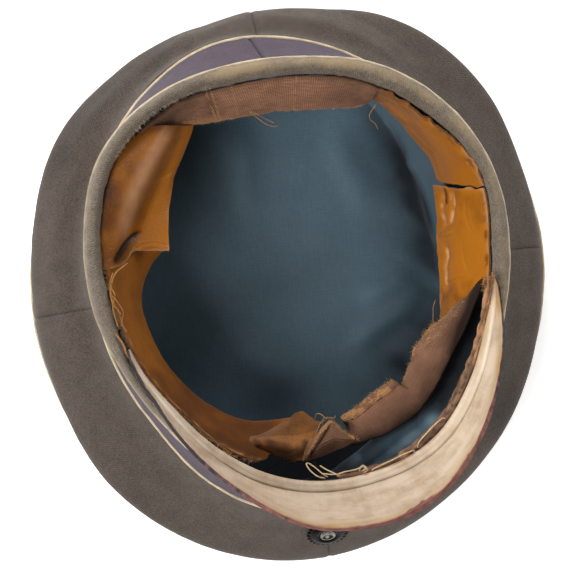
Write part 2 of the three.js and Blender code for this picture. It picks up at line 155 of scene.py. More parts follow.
def read(rows, column, angle):
    """A column's value at each angle, on a smooth curve through the rows."""
    x, y = rows[:, 0], rows[:, column]
    order = np.arange(len(x))
    after, before = np.minimum(order + 1, len(x) - 1), np.maximum(order - 1, 0)
    slope = (y[after] - y[before]) / (x[after] - x[before])
    i = np.clip(np.searchsorted(x, angle, side="right") - 1, 0, len(x) - 2)
    width = x[i + 1] - x[i]
    t = (angle - x[i]) / width
    a, b, ma, mb = y[i], y[i + 1], slope[i] * width, slope[i + 1] * width
    return a + t * (ma + t * (3 * (b - a) - 2 * ma - mb + t * (2 * (a - b) + ma + mb)))


def section(angle):
    """All the columns of the cap's section at each angle."""
    around = np.mod(angle, 360)
    return {name: read(WRAPPED, i, around) for i, name in enumerate(SECTION_COLUMNS)}


def points(*pairs):
    """Section points that change with the angle, as one array of (angles, points, 2)."""
    values = np.broadcast_arrays(*[value for pair in pairs for value in pair])
    return np.stack([np.stack(values[0::2], -1), np.stack(values[1::2], -1)], -1).astype(float)


def smooth(guides, t):
    """Points at places t, counted in guides, on smooth curves from each guide to the next."""
    last = len(guides) - 1
    i = np.minimum(t.astype(int), last - 1)
    w = (t - i).reshape(-1, *[1] * (guides.ndim - 1))
    p0, p1, p2, p3 = (guides[np.clip(i + k, 0, last)] for k in (-1, 0, 1, 2))
    v0, v1 = (p2 - p0) / 2, (p3 - p1) / 2
    return (2 * p1 - 2 * p2 + v0 + v1) * w**3 + (3 * p2 - 3 * p1 - 2 * v0 - v1) * w**2 + v0 * w + p1


def run_over(lines):
    """How far along its own line each point of some lines is."""
    steps = np.linalg.norm(np.diff(lines, axis=1), axis=2)
    return np.concatenate([np.zeros((len(lines), 1)), np.cumsum(steps, 1)], 1)


def drawn(controls, shares, start=0.0, end=0.0):
    """Smooth section lines through the controls, read at shares of their length, less what is cut off each end."""
    last = controls.shape[1] - 1
    fine = smooth(controls.swapaxes(0, 1), np.linspace(0, last, 24 * last + 1)).swapaxes(0, 1)
    out = np.empty((len(fine), len(shares), 2))
    for k, (line, run) in enumerate(zip(fine, run_over(fine))):
        at = start + np.asarray(shares) * (run[-1] - start - end)
        out[k] = np.stack([np.interp(at, run, line[:, 0]), np.interp(at, run, line[:, 1])], -1)
    return out


def turned(angle, line):
    """Section points set round the cap, in mm."""
    a = np.radians(np.asarray(angle, float))
    a = a.reshape(a.shape + (1,) * (line.ndim - 1 - a.ndim))
    return np.stack([line[..., 0] * np.cos(a), line[..., 0] * np.sin(a), line[..., 1]], -1)


def top_line(angle):
    """The crown's top: flat where it rests, then up to its edge."""
    s = section(angle)
    edge, half, flat = s["widest"] - s["tuck"], 0.9, s["widest"] * REST_SHARE
    return points(
        (flat, half), (flat + 0.45 * (edge - flat), half + 0.5), (edge - 6, 4.2), (edge - 0.4, 7.8),
        (edge - 0.3, EDGE_HEIGHT - 0.6),
    )


def side_line(angle):
    """The crown's side, from the seam with the band out to the crown's edge."""
    s = section(angle)
    span, drop, ridge = s["widest"] - s["seam"], s["seamHeight"] - EDGE_HEIGHT, s["ridge"]
    return points(
        (s["seam"], s["seamHeight"]),
        (s["seam"] + 0.25 * span - 0.6 * ridge, s["seamHeight"] - 0.28 * drop),
        (s["seam"] + 0.58 * span + 0.7 * ridge, s["seamHeight"] - 0.52 * drop),
        (s["widest"] - 0.9 - np.maximum(0, 2.5 - s["tuck"]), EDGE_HEIGHT + 9),
        (s["widest"] - s["tuck"] - 0.6, EDGE_HEIGHT),
    )


def crown_piping_line(angle):
    """The piping between the crown's top and its side."""
    s = section(angle)
    return points((s["widest"] - s["tuck"] - 0.3 + PIPING_PROUD, EDGE_HEIGHT + 0 * angle))


def upper_piping_line(angle):
    """The piping between the crown's side and the band."""
    s = section(angle)
    return points((s["seam"] + PIPING_PROUD, s["seamHeight"]))


def lower_piping_line(angle):
    """The piping between the band and the rim."""
    s = section(angle)
    return points((s["rim"], s["rimHeight"] - s["fold"]))


def band_line(angle):
    """The band, straight up from one piping to the other."""
    inwards = np.array([-PIPING_PROUD, 0])
    return np.concatenate([upper_piping_line(angle) + inwards, lower_piping_line(angle) + inwards], 1)


def binding_line(angle):
    """The folded wool over the rim, open below."""
    s = section(angle)
    outer, inner = s["rim"] - 1.1, s["inside"] + 1.0
    width, crest = outer - inner, s["rimHeight"] - 1.0
    return points(
        (outer, s["rimHeight"] - s["fold"] + 0.6),
        (outer - 0.1 * width, crest - 0.3 * s["fold"]),
        (inner + 0.5 * width, crest),
        (inner, crest - 2.2),
        (inner, crest - 5),
        (inner, s["rimHeight"] - BINDING_LEG),
    )


def lining_line(angle):
    """The lining's wall: from the crease round its flat bottom up to the rim."""
    s = section(angle)
    top = s["rimHeight"] - BINDING_LEG - 2 * GAP
    low, waist, inside, seam = s["crease"], s["waist"], s["inside"], s["seamHeight"]
    return points(
        (low - 5, LINING_HEIGHT),
        (low - 0.6, LINING_HEIGHT + 1.7),
        (low + 0.3 * (waist - low) + 1.5, LINING_HEIGHT + 0.3 * (seam - LINING_HEIGHT)),
        (waist, seam),
        ((waist + inside + 1) / 2, (seam + top) / 2),
        (inside + 1, top),
    )


def visor_line(angle):
    """The visor: a sewing flange inside the rim, then the plate that slopes up and outwards."""
    s = section(angle)
    reach, lift = read(VISOR_EDGE, 1, angle), read(VISOR_EDGE, 2, angle)
    root, base = s["inside"] - 2 * GAP - 0.9, s["rimHeight"] + 0.6
    bead = np.minimum(1, lift / 20)
    spread = np.clip((reach - root) / 12, 0, 1)
    plate, plate_height = root + 5.4 * spread, base + 6.4 * bead
    return points(
        (root, s["rimHeight"] - BINDING_LEG),
        (root, base - 3),
        (root + 0.5 * spread, base + 0.9 * bead),
        (root + 3.4 * spread, base + 3.4 * bead),
        (plate, plate_height),
        ((plate + reach) / 2 + 0.04 * lift, (plate_height + base + lift) / 2),
        (reach, base + lift),
    )


def strip_line(rows, angle, frayed=0):
    """A torn strip, from the edge near the rim to its loose edge."""
    s = section(angle)
    inset, down, free, free_down, belly = (read(rows, column, angle) for column in range(1, 6))
    sewn = s["inside"] - inset, s["rimHeight"] - down
    loose = free + frayed, s["rimHeight"] - free_down
    middle = (sewn[0] + loose[0]) / 2 - belly, (sewn[1] + loose[1]) / 2 + 0.5 * belly
    return points(sewn, middle, loose)


# --- Shaping -------------------------------------------------------------------------------------


def rise(x, low, width):
    """0 up to low, then up to 1 at low + width."""
    return np.clip((x - low) / width, 0, 1)


def fall(x, high, width):
    """1 up to high - width, then down to 0 at high."""
    return np.clip((high - x) / width, 0, 1)


def hump(x, middle, width, power=2):
    """1 at the middle, falling away smoothly on both sides."""
    return np.exp(-((np.abs(x - middle) / width) ** power))


def apart(angle, middle):
    """How many degrees apart two angles are, the shorter way round."""
    return np.abs((angle - middle + 180) % 360 - 180)


def away(place, x=0, y=0):
    """How far points are from a spot, or from the middle of the cap, seen from above."""
    return np.hypot(place[..., 0] - x, place[..., 1] - y)


def outwards(place):
    """Level directions away from the middle of the cap."""
    return place * [1, 1, 0] / away(place)[..., None]


def noise(place, size, seed=0.0, octaves=1):
    """Smooth noise from about -1 to 1, with lumps of about that size in mm. size may differ along X, Y and Z."""
    total, share = 0.0, 1.0
    for octave in range(octaves):
        q = np.asarray(place, float) / np.asarray(size, float) * 2**octave + 19.7 * octave
        i = np.floor(q)
        f = q - i
        f = f * f * f * (f * (6 * f - 15) + 10)
        for corner in np.ndindex(2, 2, 2):
            cell = i + corner
            weight = np.prod(np.where(corner, f, 1 - f), axis=-1)
            hashed = np.sin(cell @ np.array([127.1, 311.7, 74.7]) + 53.3 * seed) * 43758.5453
            total = total + share * weight * (2 * (hashed - np.floor(hashed)) - 1)
        share *= 0.5
    return total


def noise_along(x, size, seed, octaves=1):
    """Smooth noise that changes with one number only."""
    return noise(np.stack([x, 0 * x, 0 * x], -1), size, seed, octaves)


def normals(grid, closed=False):
    """Which way each point of a grid faces: along its rows crossed with over its columns."""
    if closed:
        along = np.roll(grid, -1, 0) - np.roll(grid, 1, 0)
    else:
        along = np.gradient(grid, axis=0)
    facing = np.cross(along, np.gradient(grid, axis=1))
    return facing / (np.linalg.norm(facing, axis=-1, keepdims=True) + 1e-12)


def pushed(grid, amount, closed=False):
    """A grid moved along the way that it faces."""
    return grid + normals(grid, closed) * np.asarray(amount)[..., None]


def near_line(place, path, fade=0.25):
    """How far each point is from a line seen from above, and 1 along it, falling to 0 at its ends."""
    flat, path = np.asarray(place)[..., :2], np.asarray(path, float)
    best = np.full(flat.shape[:-1], np.inf)
    along = np.zeros_like(best)
    lengths = np.linalg.norm(np.diff(path, axis=0), axis=1)
    total, run = lengths.sum(), 0.0
    for a, b, length in zip(path[:-1], path[1:], lengths):
        t = np.clip(((flat - a) @ (b - a)) / length**2, 0, 1)
        d = np.linalg.norm(flat - (a + t[..., None] * (b - a)), axis=-1)
        closer = d < best
        best = np.where(closer, d, best)
        along = np.where(closer, (run + t * length) / total, along)
        run += length
    ends = np.clip(np.minimum(along, 1 - along) / fade, 0, 1)
    return best, ends * ends * (3 - 2 * ends)


def crease(place, path, width, height, fade=0.25):
    """The height of a soft ridge, or of a groove where height is below 0, along a line seen from above."""
    distance, ends = near_line(place, path, fade)
    return height * ends * hump(distance, 0, width)


def creases(place, *lines):
    """The height of several ridges and grooves together."""
    return sum(crease(place, *line) for line in lines)


def dished(angle, line, steps):
    """A round sheet: level out to where the section lines start, then along them.

    Gives the grid, how far out over the sheet each point is, and its place when the sheet is laid flat.
    """
    level = line[:, :1] * [1.0, 0.0] * np.linspace(0, 1, steps)[None, :-1, None] + line[:, :1] * [0.0, 1.0]
    grid = turned(angle, np.concatenate([level, line], 1))
    run, a = run_over(grid), np.radians(angle)[:, None]
    return grid, run, np.stack([run * np.cos(a), run * np.sin(a)], -1)


def strip_grid(name, step, frayed, slants=None):
    """The grid of a torn strip, its angles and how far over it each column is. frayed moves its loose edge by
    angle. slants shift its two ends, in degrees, by how far over the strip a point is."""
    rows, (r0, r1), (f0, f1) = (STRIPS[name][key] for key in ("rows", "rim", "free"))
    length = math.radians(max(r1 - r0, f1 - f0)) * STRIP_RADIUS
    width = run_over(strip_line(rows, np.linspace(r0, r1, 9)))[:, -1].max()
    u = np.linspace(0, 1, int(length / step) + 1)
    v = np.linspace(0, 1, int(width / step) + 1)
    first, last = r0 + (f0 - r0) * v, r1 + (f1 - r1) * v
    if slants:
        first, last = first + slants[0](v), last + slants[1](v)
    angle = first + (last - first) * u[:, None]
    grid = np.empty((len(u), len(v), 3))
    for j, share in enumerate(v):
        a = angle[:, j]
        grid[:, j] = turned(a, drawn(strip_line(rows, a, frayed(a) * share**6), [share])[:, 0])
    return grid, angle, v


def evenly(line, count):
    """A line of points read at even steps of its length."""
    line = np.asarray(line, float)
    run = run_over(line[None])[0]
    at = np.linspace(0, run[-1], count)
    return np.stack([np.interp(at, run, line[:, k]) for k in range(3)], -1)


def spanned(guides, step=0.55):
    """A grid over guide lines that run side by side, smooth from each one to the next."""
    longest = max(np.linalg.norm(np.diff(line, axis=0), axis=1).sum() for line in guides)
    lines = np.stack([evenly(line, int(longest / step) + 1) for line in guides])
    width = np.linalg.norm(np.diff(lines, axis=0), axis=2).sum(0).max()
    return smooth(lines, np.linspace(0, len(guides) - 1, int(width / step) + 1)).swapaxes(0, 1)


def shares(grid):
    """Shares along and over a grid, from 0 to 1."""
    return np.linspace(0, 1, grid.shape[0])[:, None], np.linspace(0, 1, grid.shape[1])[None, :]


# --- Making meshes -------------------------------------------------------------------------------


def alone(piece):
    """Selects one object and nothing else."""
    bpy.ops.object.select_all(action="DESELECT")
    bpy.context.view_layer.objects.active = piece
    piece.select_set(True)


def solid(name, vertices, faces, materials):
    """An object made from points in mm."""
    mesh = bpy.data.meshes.new(name)
    mesh.from_pydata((np.asarray(vertices) * MM).tolist(), [], faces)
    for material in materials:
        mesh.materials.append(material)
    piece = bpy.data.objects.new(name, mesh)
    bpy.context.scene.collection.objects.link(piece)
    alone(piece)
    return piece


def in_edit_mode(*steps):
    """Runs mesh operators on the whole of the active piece."""
    bpy.ops.object.mode_set(mode="EDIT")
    bpy.ops.mesh.select_all(action="SELECT")
    for step in steps:
        step()
    bpy.ops.object.mode_set(mode="OBJECT")


def marked(piece, values):
    """Writes values for each point, for the materials to read."""
    for key, amount in values.items():
        piece.data.attributes.new(key, "FLOAT", "POINT").data.foreach_set("value", amount)


def settled(piece, slot, node=None, **soft):
    """Fixes a finished piece to the cap's one body and hides the solid it stands for. What it is made of, slot, is not
    used.
    """
    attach(piece, "root")
    if node:
        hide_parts(node)
    return piece


def sheet(name, grid, thickness, materials, slot, node=None, closed=False, flip=False, flat=None, pole=False,
          held=None, rests_on=(), **values):
    """A piece of cloth or leather from the grid of its middle surface. materials are its face, its back and
    its cut edge, flat its places laid flat, and values what the materials read at each point. A closed grid
    runs right round, and one with a pole starts as a single point. held is left out for a stiff plate."""
    n, m = grid.shape[:2]
    i, j = np.meshgrid(np.arange(n if closed else n - 1), np.arange(m - 1), indexing="ij")
    i, j = i.ravel(), j.ravel()
    around = (i + 1) % n
    corners = [(i, j), (around, j), (around, j + 1), (i, j + 1)]
    joined = np.concatenate([grid, grid[:1]]) if closed else grid
    lengths, widths = np.linalg.norm(np.diff(joined, axis=0), axis=2), np.linalg.norm(np.diff(grid, axis=1), axis=2)
    if flat is None:
        u = np.concatenate([[0], np.cumsum(lengths.mean(1))])
        v = np.concatenate([[0], np.cumsum(widths.mean(0))])
        place = [np.stack([u[i + di], v[b]], -1) for di, (_, b) in zip((0, 1, 1, 0), corners)]
    else:
        place = [flat[corner] for corner in corners]
    turn = -1 if flip else 1
    faces = np.stack([a * m + b for a, b in corners], -1)[:, ::turn]
    piece = solid(name, grid.reshape(-1, 3), faces.tolist(), materials)
    layer = piece.data.uv_layers.new(name="cut")
    layer.data.foreach_set("uv", (np.stack(place, 1)[:, ::turn] * MM).ravel())
    marked(piece, {key: np.broadcast_to(amount, (n, m)).astype(float).ravel() for key, amount in values.items()})
    if pole:
        in_edit_mode(partial(bpy.ops.mesh.remove_doubles, threshold=1e-6))
    wall = piece.modifiers.new("thickness", "SOLIDIFY")
    wall.thickness, wall.offset = thickness * MM, 0
    wall.material_offset, wall.material_offset_rim = (1, 2) if len(materials) > 2 else (0, 0)
    bpy.ops.object.modifier_apply(modifier=wall.name)
    bpy.ops.object.shade_smooth_by_angle(angle=math.radians(50))
    if not held:
        return settled(piece, slot, node)
    # The flat piece: as long and as wide as its longest lines, or as a disc where it has a pole.
    diagonals = joined[1:, 1:] - joined[:-1, :-1], joined[1:, :-1] - joined[:-1, 1:]
    area = np.linalg.norm(np.cross(*diagonals), axis=-1).sum() / 2
    length, width = lengths.sum(0).max(), max(10.0, widths.sum(1).max())
    if pole:
        length = width = math.sqrt(area / 0.8)
    elif area > length * width:
        length = area / width
    return settled(piece, slot, node, flat=(width * MM, length * MM), area=area * MM**2 * 0.9999, held=held,
                   rests_on=rests_on)


def tubes(name, paths, radii, material, slot, node=None, sides=6, closed=False):
    """Cords or threads along lines of points in mm, all one object. Open ones are thin at their ends."""
    vertices, faces, total = [], [], 0
    for path, radius in zip(paths, radii if isinstance(radii, list) else [radii] * len(paths)):
        n = len(path)
        along = np.roll(path, -1, 0) - np.roll(path, 1, 0) if closed else np.gradient(path, axis=0)
        along /= np.linalg.norm(along, axis=1, keepdims=True) + 1e-12
        side = np.cross(along, [0.123, 0.2, 1.0])
        side /= np.linalg.norm(side, axis=1, keepdims=True) + 1e-12
        r = np.broadcast_to(radius, (n,)).copy()
        if not closed:
            r[[0, -1]] *= 0.35
        turn = np.linspace(0, 2 * np.pi, sides, endpoint=False)[None, :, None]
        ring = np.cos(turn) * side[:, None] + np.sin(turn) * np.cross(along, side)[:, None]
        vertices.append((path[:, None] + r[:, None, None] * ring).reshape(-1, 3))
        i, j = np.meshgrid(np.arange(n if closed else n - 1), np.arange(sides), indexing="ij")
        i, j = i.ravel(), j.ravel()
        i2, j2 = (i + 1) % n, (j + 1) % sides
        faces += (np.stack([i * sides + j, i * sides + j2, i2 * sides + j2, i2 * sides + j], -1) + total).tolist()
        if not closed:
            faces.append([total + s for s in range(sides - 1, -1, -1)])
            faces.append([total + (n - 1) * sides + s for s in range(sides)])
        total += n * sides
    piece = solid(name, np.concatenate(vertices), faces, [material])
    in_edit_mode(partial(bpy.ops.mesh.normals_make_consistent, inside=False))
    bpy.ops.object.shade_smooth_by_angle(angle=math.radians(70))
    return settled(piece, slot, node)


def waved(path, count, wander, seed):
    """A smooth thread through points, with a slight wander, in mm."""
    line = smooth(np.asarray(path, float), np.linspace(0, len(path) - 1, count))
    return line + wander * np.stack([noise(line, 6, seed + k) for k in range(3)], -1)


def fibres(edge, ways, count, length, seed, spread=0.5):
    """Short loose fibres that stand out from an edge and droop, as lines of points in mm."""
    random = np.random.default_rng(seed)
    ways = np.broadcast_to(ways, edge.shape)
    made = []
    for _ in range(count):
        k = random.integers(0, len(edge))
        way = ways[k] + random.normal(0, spread, 3)
        way /= np.linalg.norm(way) + 1e-9
        bend = random.normal(0, 0.6, 3)
        reach = length * random.uniform(0.3, 1.3)
        t = np.linspace(0, 1, 5)[:, None]
        line = edge[k] + random.normal(0, 0.15, 3) + way * reach * t + bend * reach * 0.35 * t**2
        line[:, 2] -= 0.3 * reach * t[:, 0] ** 2
        made.append(line)
    return made


# --- Materials -----------------------------------------------------------------------------------


def fill(node, *values, **named):
    """Gives a node's inputs values or links, in their order or by name. A node stands for its Fac or first output."""
    inputs = list(zip([socket for socket in node.inputs if socket.enabled], values))
    inputs += [(node.inputs[name.replace("_", " ")], value) for name, value in named.items()]
    for socket, value in inputs:
        if isinstance(value, bpy.types.Node):
            outputs = [output for output in value.outputs if output.enabled]
            value = next((output for output in outputs if output.name == "Fac"), outputs[0])
        if isinstance(value, bpy.types.NodeSocket):
            node.id_data.links.new(value, socket)
        else:
            socket.default_value = value
    return node


def add(tree, kind, *values, stops=(), **named):
    """Adds a node. Capitalised names are inputs and small ones settings; stops are a ramp's places and colours."""
    made = tree.nodes.new("ShaderNode" + kind)
    for name in [name for name in named if name.islower()]:
        setattr(made, name, named.pop(name))
    for k, (place, colour) in enumerate(stops):
        stop = made.color_ramp.elements[k] if k < 2 else made.color_ramp.elements.new(place)
        stop.position, stop.color = place, colour
    return fill(made, *values, **named)


def blank(name, roughness, **constants):
    """A new material and what adds nodes to it, with the object's own coordinates and those of the flat cut."""
    material = bpy.data.materials.new(name)
    material.use_nodes = True
    fill(material.node_tree.nodes["Principled BSDF"], Roughness=roughness, **constants)
    node = partial(add, material.node_tree)
    place = node("TexCoord")
    return material, node, place.outputs["Object"], place.outputs["UV"]


def finished(material, **links):
    """The material, once its shader has its colour and the like."""
    fill(material.node_tree.nodes["Principled BSDF"], **links)
    return material


def tinted(node, base, mark, colour):
    """A colour mixed into the base where the points of a piece carry a mark."""
    return node("Mix", node("Attribute", attribute_name=mark), base, linear(colour), data_type="RGBA")


def shaded(colour, amount):
    """A colour made lighter, or darker where amount is under 1."""
    return (*[min(1.0, c * amount) for c in colour[:3]], 1.0)


def wool_cloth(name, colour, worn=False):
    """Milled wool twill: matt, with a short nap over fine slanting ribs, and fibres of mixed greys."""
    material, node, place, cut = blank(name, 0.95, Sheen_Weight=0.12, Sheen_Roughness=0.5, Specular_IOR_Level=0.2)
    # Mixed fibres show as flecks of 0.7 mm, coarser than a fibre so that they show at all.
    fleck = node("TexNoise", place, 1 / 0.0007, 3.0, 0.7)
    # Handling leaves lighter and darker patches of about 10 mm.
    patch = node("TexNoise", place, 1 / 0.01, 5.0, 0.65)
    axes = node("SeparateXYZ", cut)
    # Ribs of the twill at 1.1 mm, drawn twice as coarse as the real ones.
    slant = node("Math", axes.outputs["Y"], 0.7, axes.outputs["X"], operation="MULTIPLY_ADD")
    rib = node("Math", node("Math", slant, 2 * math.pi / 0.0011, operation="MULTIPLY"), operation="SINE")
    height = node("Math", rib, 0.06, fleck, operation="MULTIPLY_ADD")
    tone = node("ValToRGB", height, stops=[(0.36, shaded(colour, 0.62)), (0.64, shaded(colour, 1.36))])
    soil = node("ValToRGB", patch, stops=[(0.32, linear("#dbd9d6")), (0.68, linear("#ffffff"))])
    base = node("Mix", 0.8, tone, soil, data_type="RGBA", blend_type="MULTIPLY")
    if worn:
        # The crest of the roll is rubbed pale and yellowish, in flecks of 1.3 mm gathered in patches of 9 mm.
        hairy = node("TexNoise", place, 1 / 0.0013, 3.0, 0.7)
        gathered = node("TexNoise", place, 1 / 0.009, 3.0)
        both = node("Math", hairy, gathered, operation="ADD")
        share = node("Math", node("Attribute", attribute_name="wear"), both, operation="MULTIPLY")
        rubbed = node("MapRange", share, 0.6, 1.25, 0.0, 0.75)
        base = node("Mix", rubbed, base, linear("#9a8566"), data_type="RGBA")
    # Painted shade darkens the cloth where it dips into a seam, and in patches where shade falls.
    base = tinted(node, base, "dip", "#171314")
    bump = node("Bump", Height=height, Distance=0.0004, Strength=0.7)
    return finished(material, Base_Color=base, Normal=bump)


def piping_cloth(name, colour):
    """Wool felt wrapped round a cord: matt and cream, greyed in places with painted shade."""
    material, node, place, _ = blank(name, 0.9, Sheen_Weight=0.1, Specular_IOR_Level=0.2)
    # A fine nap of 0.6 mm, over patches of 6 mm that hands have soiled.
    fine = node("TexNoise", place, 1 / 0.0006, 2.0)
    patch = node("TexNoise", place, 1 / 0.006, 4.0, 0.65)
    tone = node("ValToRGB", patch, stops=[(0.3, shaded(colour, 0.62)), (0.62, colour)])
    # Painted shade greys it where the cord is marked for it.
    base = tinted(node, tone, "grime", "#6f6557")
    return finished(material, Base_Color=base, Normal=node("Bump", Height=fine, Distance=0.0002, Strength=0.5))


def lining_cotton(name, colour):
    """Cotton sateen, piece dyed: smooth, with a soft lustre and threads that run uneven both ways."""
    material, node, place, cut = blank(name, 0.62, Specular_IOR_Level=0.35, Sheen_Weight=0.15)
    # Uneven threads of 0.8 mm, twice the real spacing, run both ways.
    warp = node("Mapping", cut, Scale=(1 / 0.0008, 1 / 0.008, 1.0))
    weft = node("Mapping", cut, Scale=(1 / 0.006, 1 / 0.0008, 1.0))
    weave = node("Math", node("TexNoise", warp, 1.0, 2.0), node("TexNoise", weft, 1.0, 2.0), operation="ADD")
    # The dye took unevenly, in clouds of 30 mm.
    mixed = node("Math", node("TexNoise", place, 1 / 0.03, 4.0), 0.8, weave, operation="MULTIPLY_ADD")
    spread = node("MapRange", mixed, 1.1, 1.7)
    tone = node("ValToRGB", spread, stops=[(0.0, shaded(colour, 0.84)), (1.0, shaded(colour, 1.04))])
    # Painted shade lies dark in the folds and hollows that the light does not reach.
    base = tinted(node, tone, "soil", "#0d161e")
    # Lint lies on it in specks, the few highest peaks of a noise of 2.2 mm.
    speck = node("MapRange", node("TexNoise", place, 1 / 0.0022, 2.0), 0.77, 0.82, 0.0, 0.3)
    dusty = node("Mix", speck, base, linear("#9aa3a3"), data_type="RGBA")
    return finished(material, Base_Color=dusty, Normal=node("Bump", Height=weave, Distance=0.00025, Strength=0.3))


def glazed_leather(name, colour, coat=0.07, rubbed="#bf8c66"):
    """Vegetable-tanned sheepskin with a glazed face: glossy, finely creased, stained brown by wear, with painted shade
    in its folds and painted highlights on its ridges.
    """
    material, node, place, _ = blank(name, 0.4, Specular_IOR_Level=0.36, Coat_Weight=coat, Coat_Roughness=0.2)
    # Sweat has stained it in clouds of 12 mm.
    cloud = node("TexNoise", place, 1 / 0.012, 5.0, 0.6)
    # Painted shade joins the sweat stains in pockets, valleys and cracks.
    both = node("Math", cloud, 0.4, node("Attribute", attribute_name="stain"), operation="MULTIPLY_ADD")
    tone = node("ValToRGB", both, stops=[
        (0.14, shaded(colour, 1.12)), (0.35, colour), (0.68, linear("#673a0e")), (0.93, linear("#2e190b")),
    ])
    # Painted highlights lie pinkish brown on ridges and pale on curls; torn and cut edges show the pale hide under the
    # glaze, whose colour also paints highlights on curls.
    base = tinted(node, tinted(node, tone, "bloom", rubbed), "raw", "#b98556")
    # Grain creases of 2.2 mm and pores of 0.9 mm.
    grain = node("TexVoronoi", place, Scale=1 / 0.0022, feature="DISTANCE_TO_EDGE")
    pore = node("TexNoise", place, 1 / 0.0009, 2.0)
    height = node("Math", pore, 0.5, node("MapRange", grain, 0.0, 0.12), operation="MULTIPLY_ADD")
    bump = node("Bump", Height=height, Distance=0.00012, Strength=0.5)
    # The stained clouds are duller, and all of it is glossier where it has kept its glaze.
    shine = node("MapRange", node("Attribute", attribute_name="gloss"), To_Min=1.0, To_Max=0.55)
    rough = node("Math", node("MapRange", cloud, To_Min=0.3, To_Max=0.52), shine, operation="MULTIPLY")
    return finished(material, Base_Color=base, Roughness=rough, Normal=bump)


def suede_leather(name, colour):
    """The flesh side of leather: napped, matt and fibrous."""
    material, node, place, _ = blank(name, 0.95, Sheen_Weight=0.2, Specular_IOR_Level=0.2)
    # A nap of 1.2 mm, brushed into patches of 9 mm.
    nap = node("TexNoise", place, 1 / 0.0012, 5.0, 0.75)
    both = node("Math", nap, 0.6, node("TexNoise", place, 1 / 0.009, 4.0), operation="MULTIPLY_ADD")
    tone = node("ValToRGB", both, stops=[(0.55, shaded(colour, 0.6)), (1.0, shaded(colour, 1.3))])
    # Its dark mark darkens its own darker patches, and as painted shade its creases, grooves and stitch holes.
    base = tinted(node, tone, "dark", "#4a2c14")
    return finished(material, Base_Color=base, Normal=node("Bump", Height=nap, Distance=0.0005, Strength=0.7))


def ribbed_linen(name, colour, ribs):
    """Stiffened linen: coarse flax threads in plain weave, darkened with sweat and painted shade in places and frayed
    golden at its edges.
    """
    material, node, place, cut = blank(name, 0.95, Sheen_Weight=0.03, Specular_IOR_Level=0.12)
    axes = node("SeparateXYZ", cut)
    # Threads of 0.9 mm along the strip, crossed by threads of 1 mm.
    warp = node("Math", axes.outputs["Y"], 2 * math.pi / 0.0009, operation="MULTIPLY")
    weft = node("Math", axes.outputs["X"], 2 * math.pi / 0.001, operation="MULTIPLY")
    rib, cross = node("Math", warp, operation="SINE"), node("Math", weft, operation="SINE")
    weave = node("Math", cross, 0.6, rib, operation="MULTIPLY_ADD")
    # Slubs 6 mm long and 1.1 mm thick, and patches of 8 mm.
    uneven = node("TexNoise", node("Mapping", cut, Scale=(1 / 0.006, 1 / 0.0011, 1.0)), 1.0, 3.0)
    patch = node("TexNoise", place, 1 / 0.008, 5.0, 0.65)
    level = node("Math", uneven, 0.25 + 2.2 * ribs, 0.35 - 1.0 * ribs, operation="MULTIPLY_ADD")
    tint = node("Math", weave, ribs, level, operation="MULTIPLY_ADD")
    spread = node("MapRange", node("Math", patch, 0.7, tint, operation="MULTIPLY_ADD"), 0.5, 1.25)
    tone = node("ValToRGB", spread, stops=[(0.0, shaded(colour, 0.5)), (0.5, colour), (1.0, shaded(colour, 1.5))])
    # Painted shade and sweat darken it where the cloth is marked.
    soiled = tinted(node, tone, "soil", "#24150c")
    # Broken fibres of 1.1 mm catch the light where the cloth is frayed.
    fibre = node("TexNoise", place, 1 / 0.0011, 2.0)
    share = node("Math", node("Attribute", attribute_name="fray"), 0.75, fibre, operation="MULTIPLY_ADD")
    golden = node("MapRange", share, 0.72, 1.0, 0.0, 0.85)
    base = node("Mix", golden, soiled, linear("#b08358"), data_type="RGBA")
    return finished(material, Base_Color=base, Normal=node("Bump", Height=weave, Distance=0.0002, Strength=0.6))


def coated_fibre(name, colour):
    """Vulcanised fibre, its cream coat pressed like cloth: yellowed at the front and chipped to the red fibre."""
    material, node, place, cut = blank(name, 0.55, Specular_IOR_Level=0.4)
    # The coat is pressed with threads 1.4 mm wide and 20 mm long, both ways.
    warp = node("Mapping", cut, Scale=(1 / 0.0014, 1 / 0.02, 1.0))
    weft = node("Mapping", cut, Scale=(1 / 0.02, 1 / 0.0014, 1.0))
    press = node("Math", node("TexNoise", warp, 1.0, 2.0), node("TexNoise", weft, 1.0, 2.0), operation="ADD")
    # It is soiled in patches of 16 mm, and wiping has drawn the dirt out in streaks of 4 mm along the visor.
    patch = node("TexNoise", place, 1 / 0.016, 6.0, 0.65)
    streak = node("TexNoise", node("Mapping", cut, Scale=(1 / 0.045, 1 / 0.004, 1.0)), 1.0, 2.0)
    worn = node("Math", streak, 0.22, patch, operation="MULTIPLY_ADD")
    both = node("Math", press, 0.15, worn, operation="MULTIPLY_ADD")
    tone = node("ValToRGB", both, stops=[(0.58, linear("#b59b7f")), (0.86, shaded(colour, 1.04))])
    ruffled = node("Math", node("Attribute", attribute_name="stain"), patch, operation="MULTIPLY")
    aged = node("Mix", node("MapRange", ruffled, 0.08, 0.6), tone, linear("#b58f57"), data_type="RGBA")
    # Painted shade darkens the groove and the left of the visor, and the flange and right end are darkened too; a
    # painted highlight lightens the bead's crest.
    grey = tinted(node, tinted(node, aged, "dirt", "#5c3d2c"), "rub", "#f1e6d2")
    red = node("ValToRGB", patch, stops=[(0.35, linear("#6d4038")), (0.65, linear("#98675b"))])
    base = node("Mix", node("Attribute", attribute_name="chip"), grey, red, data_type="RGBA")
    return finished(material, Base_Color=base, Normal=node("Bump", Height=press, Distance=0.00015, Strength=0.3))


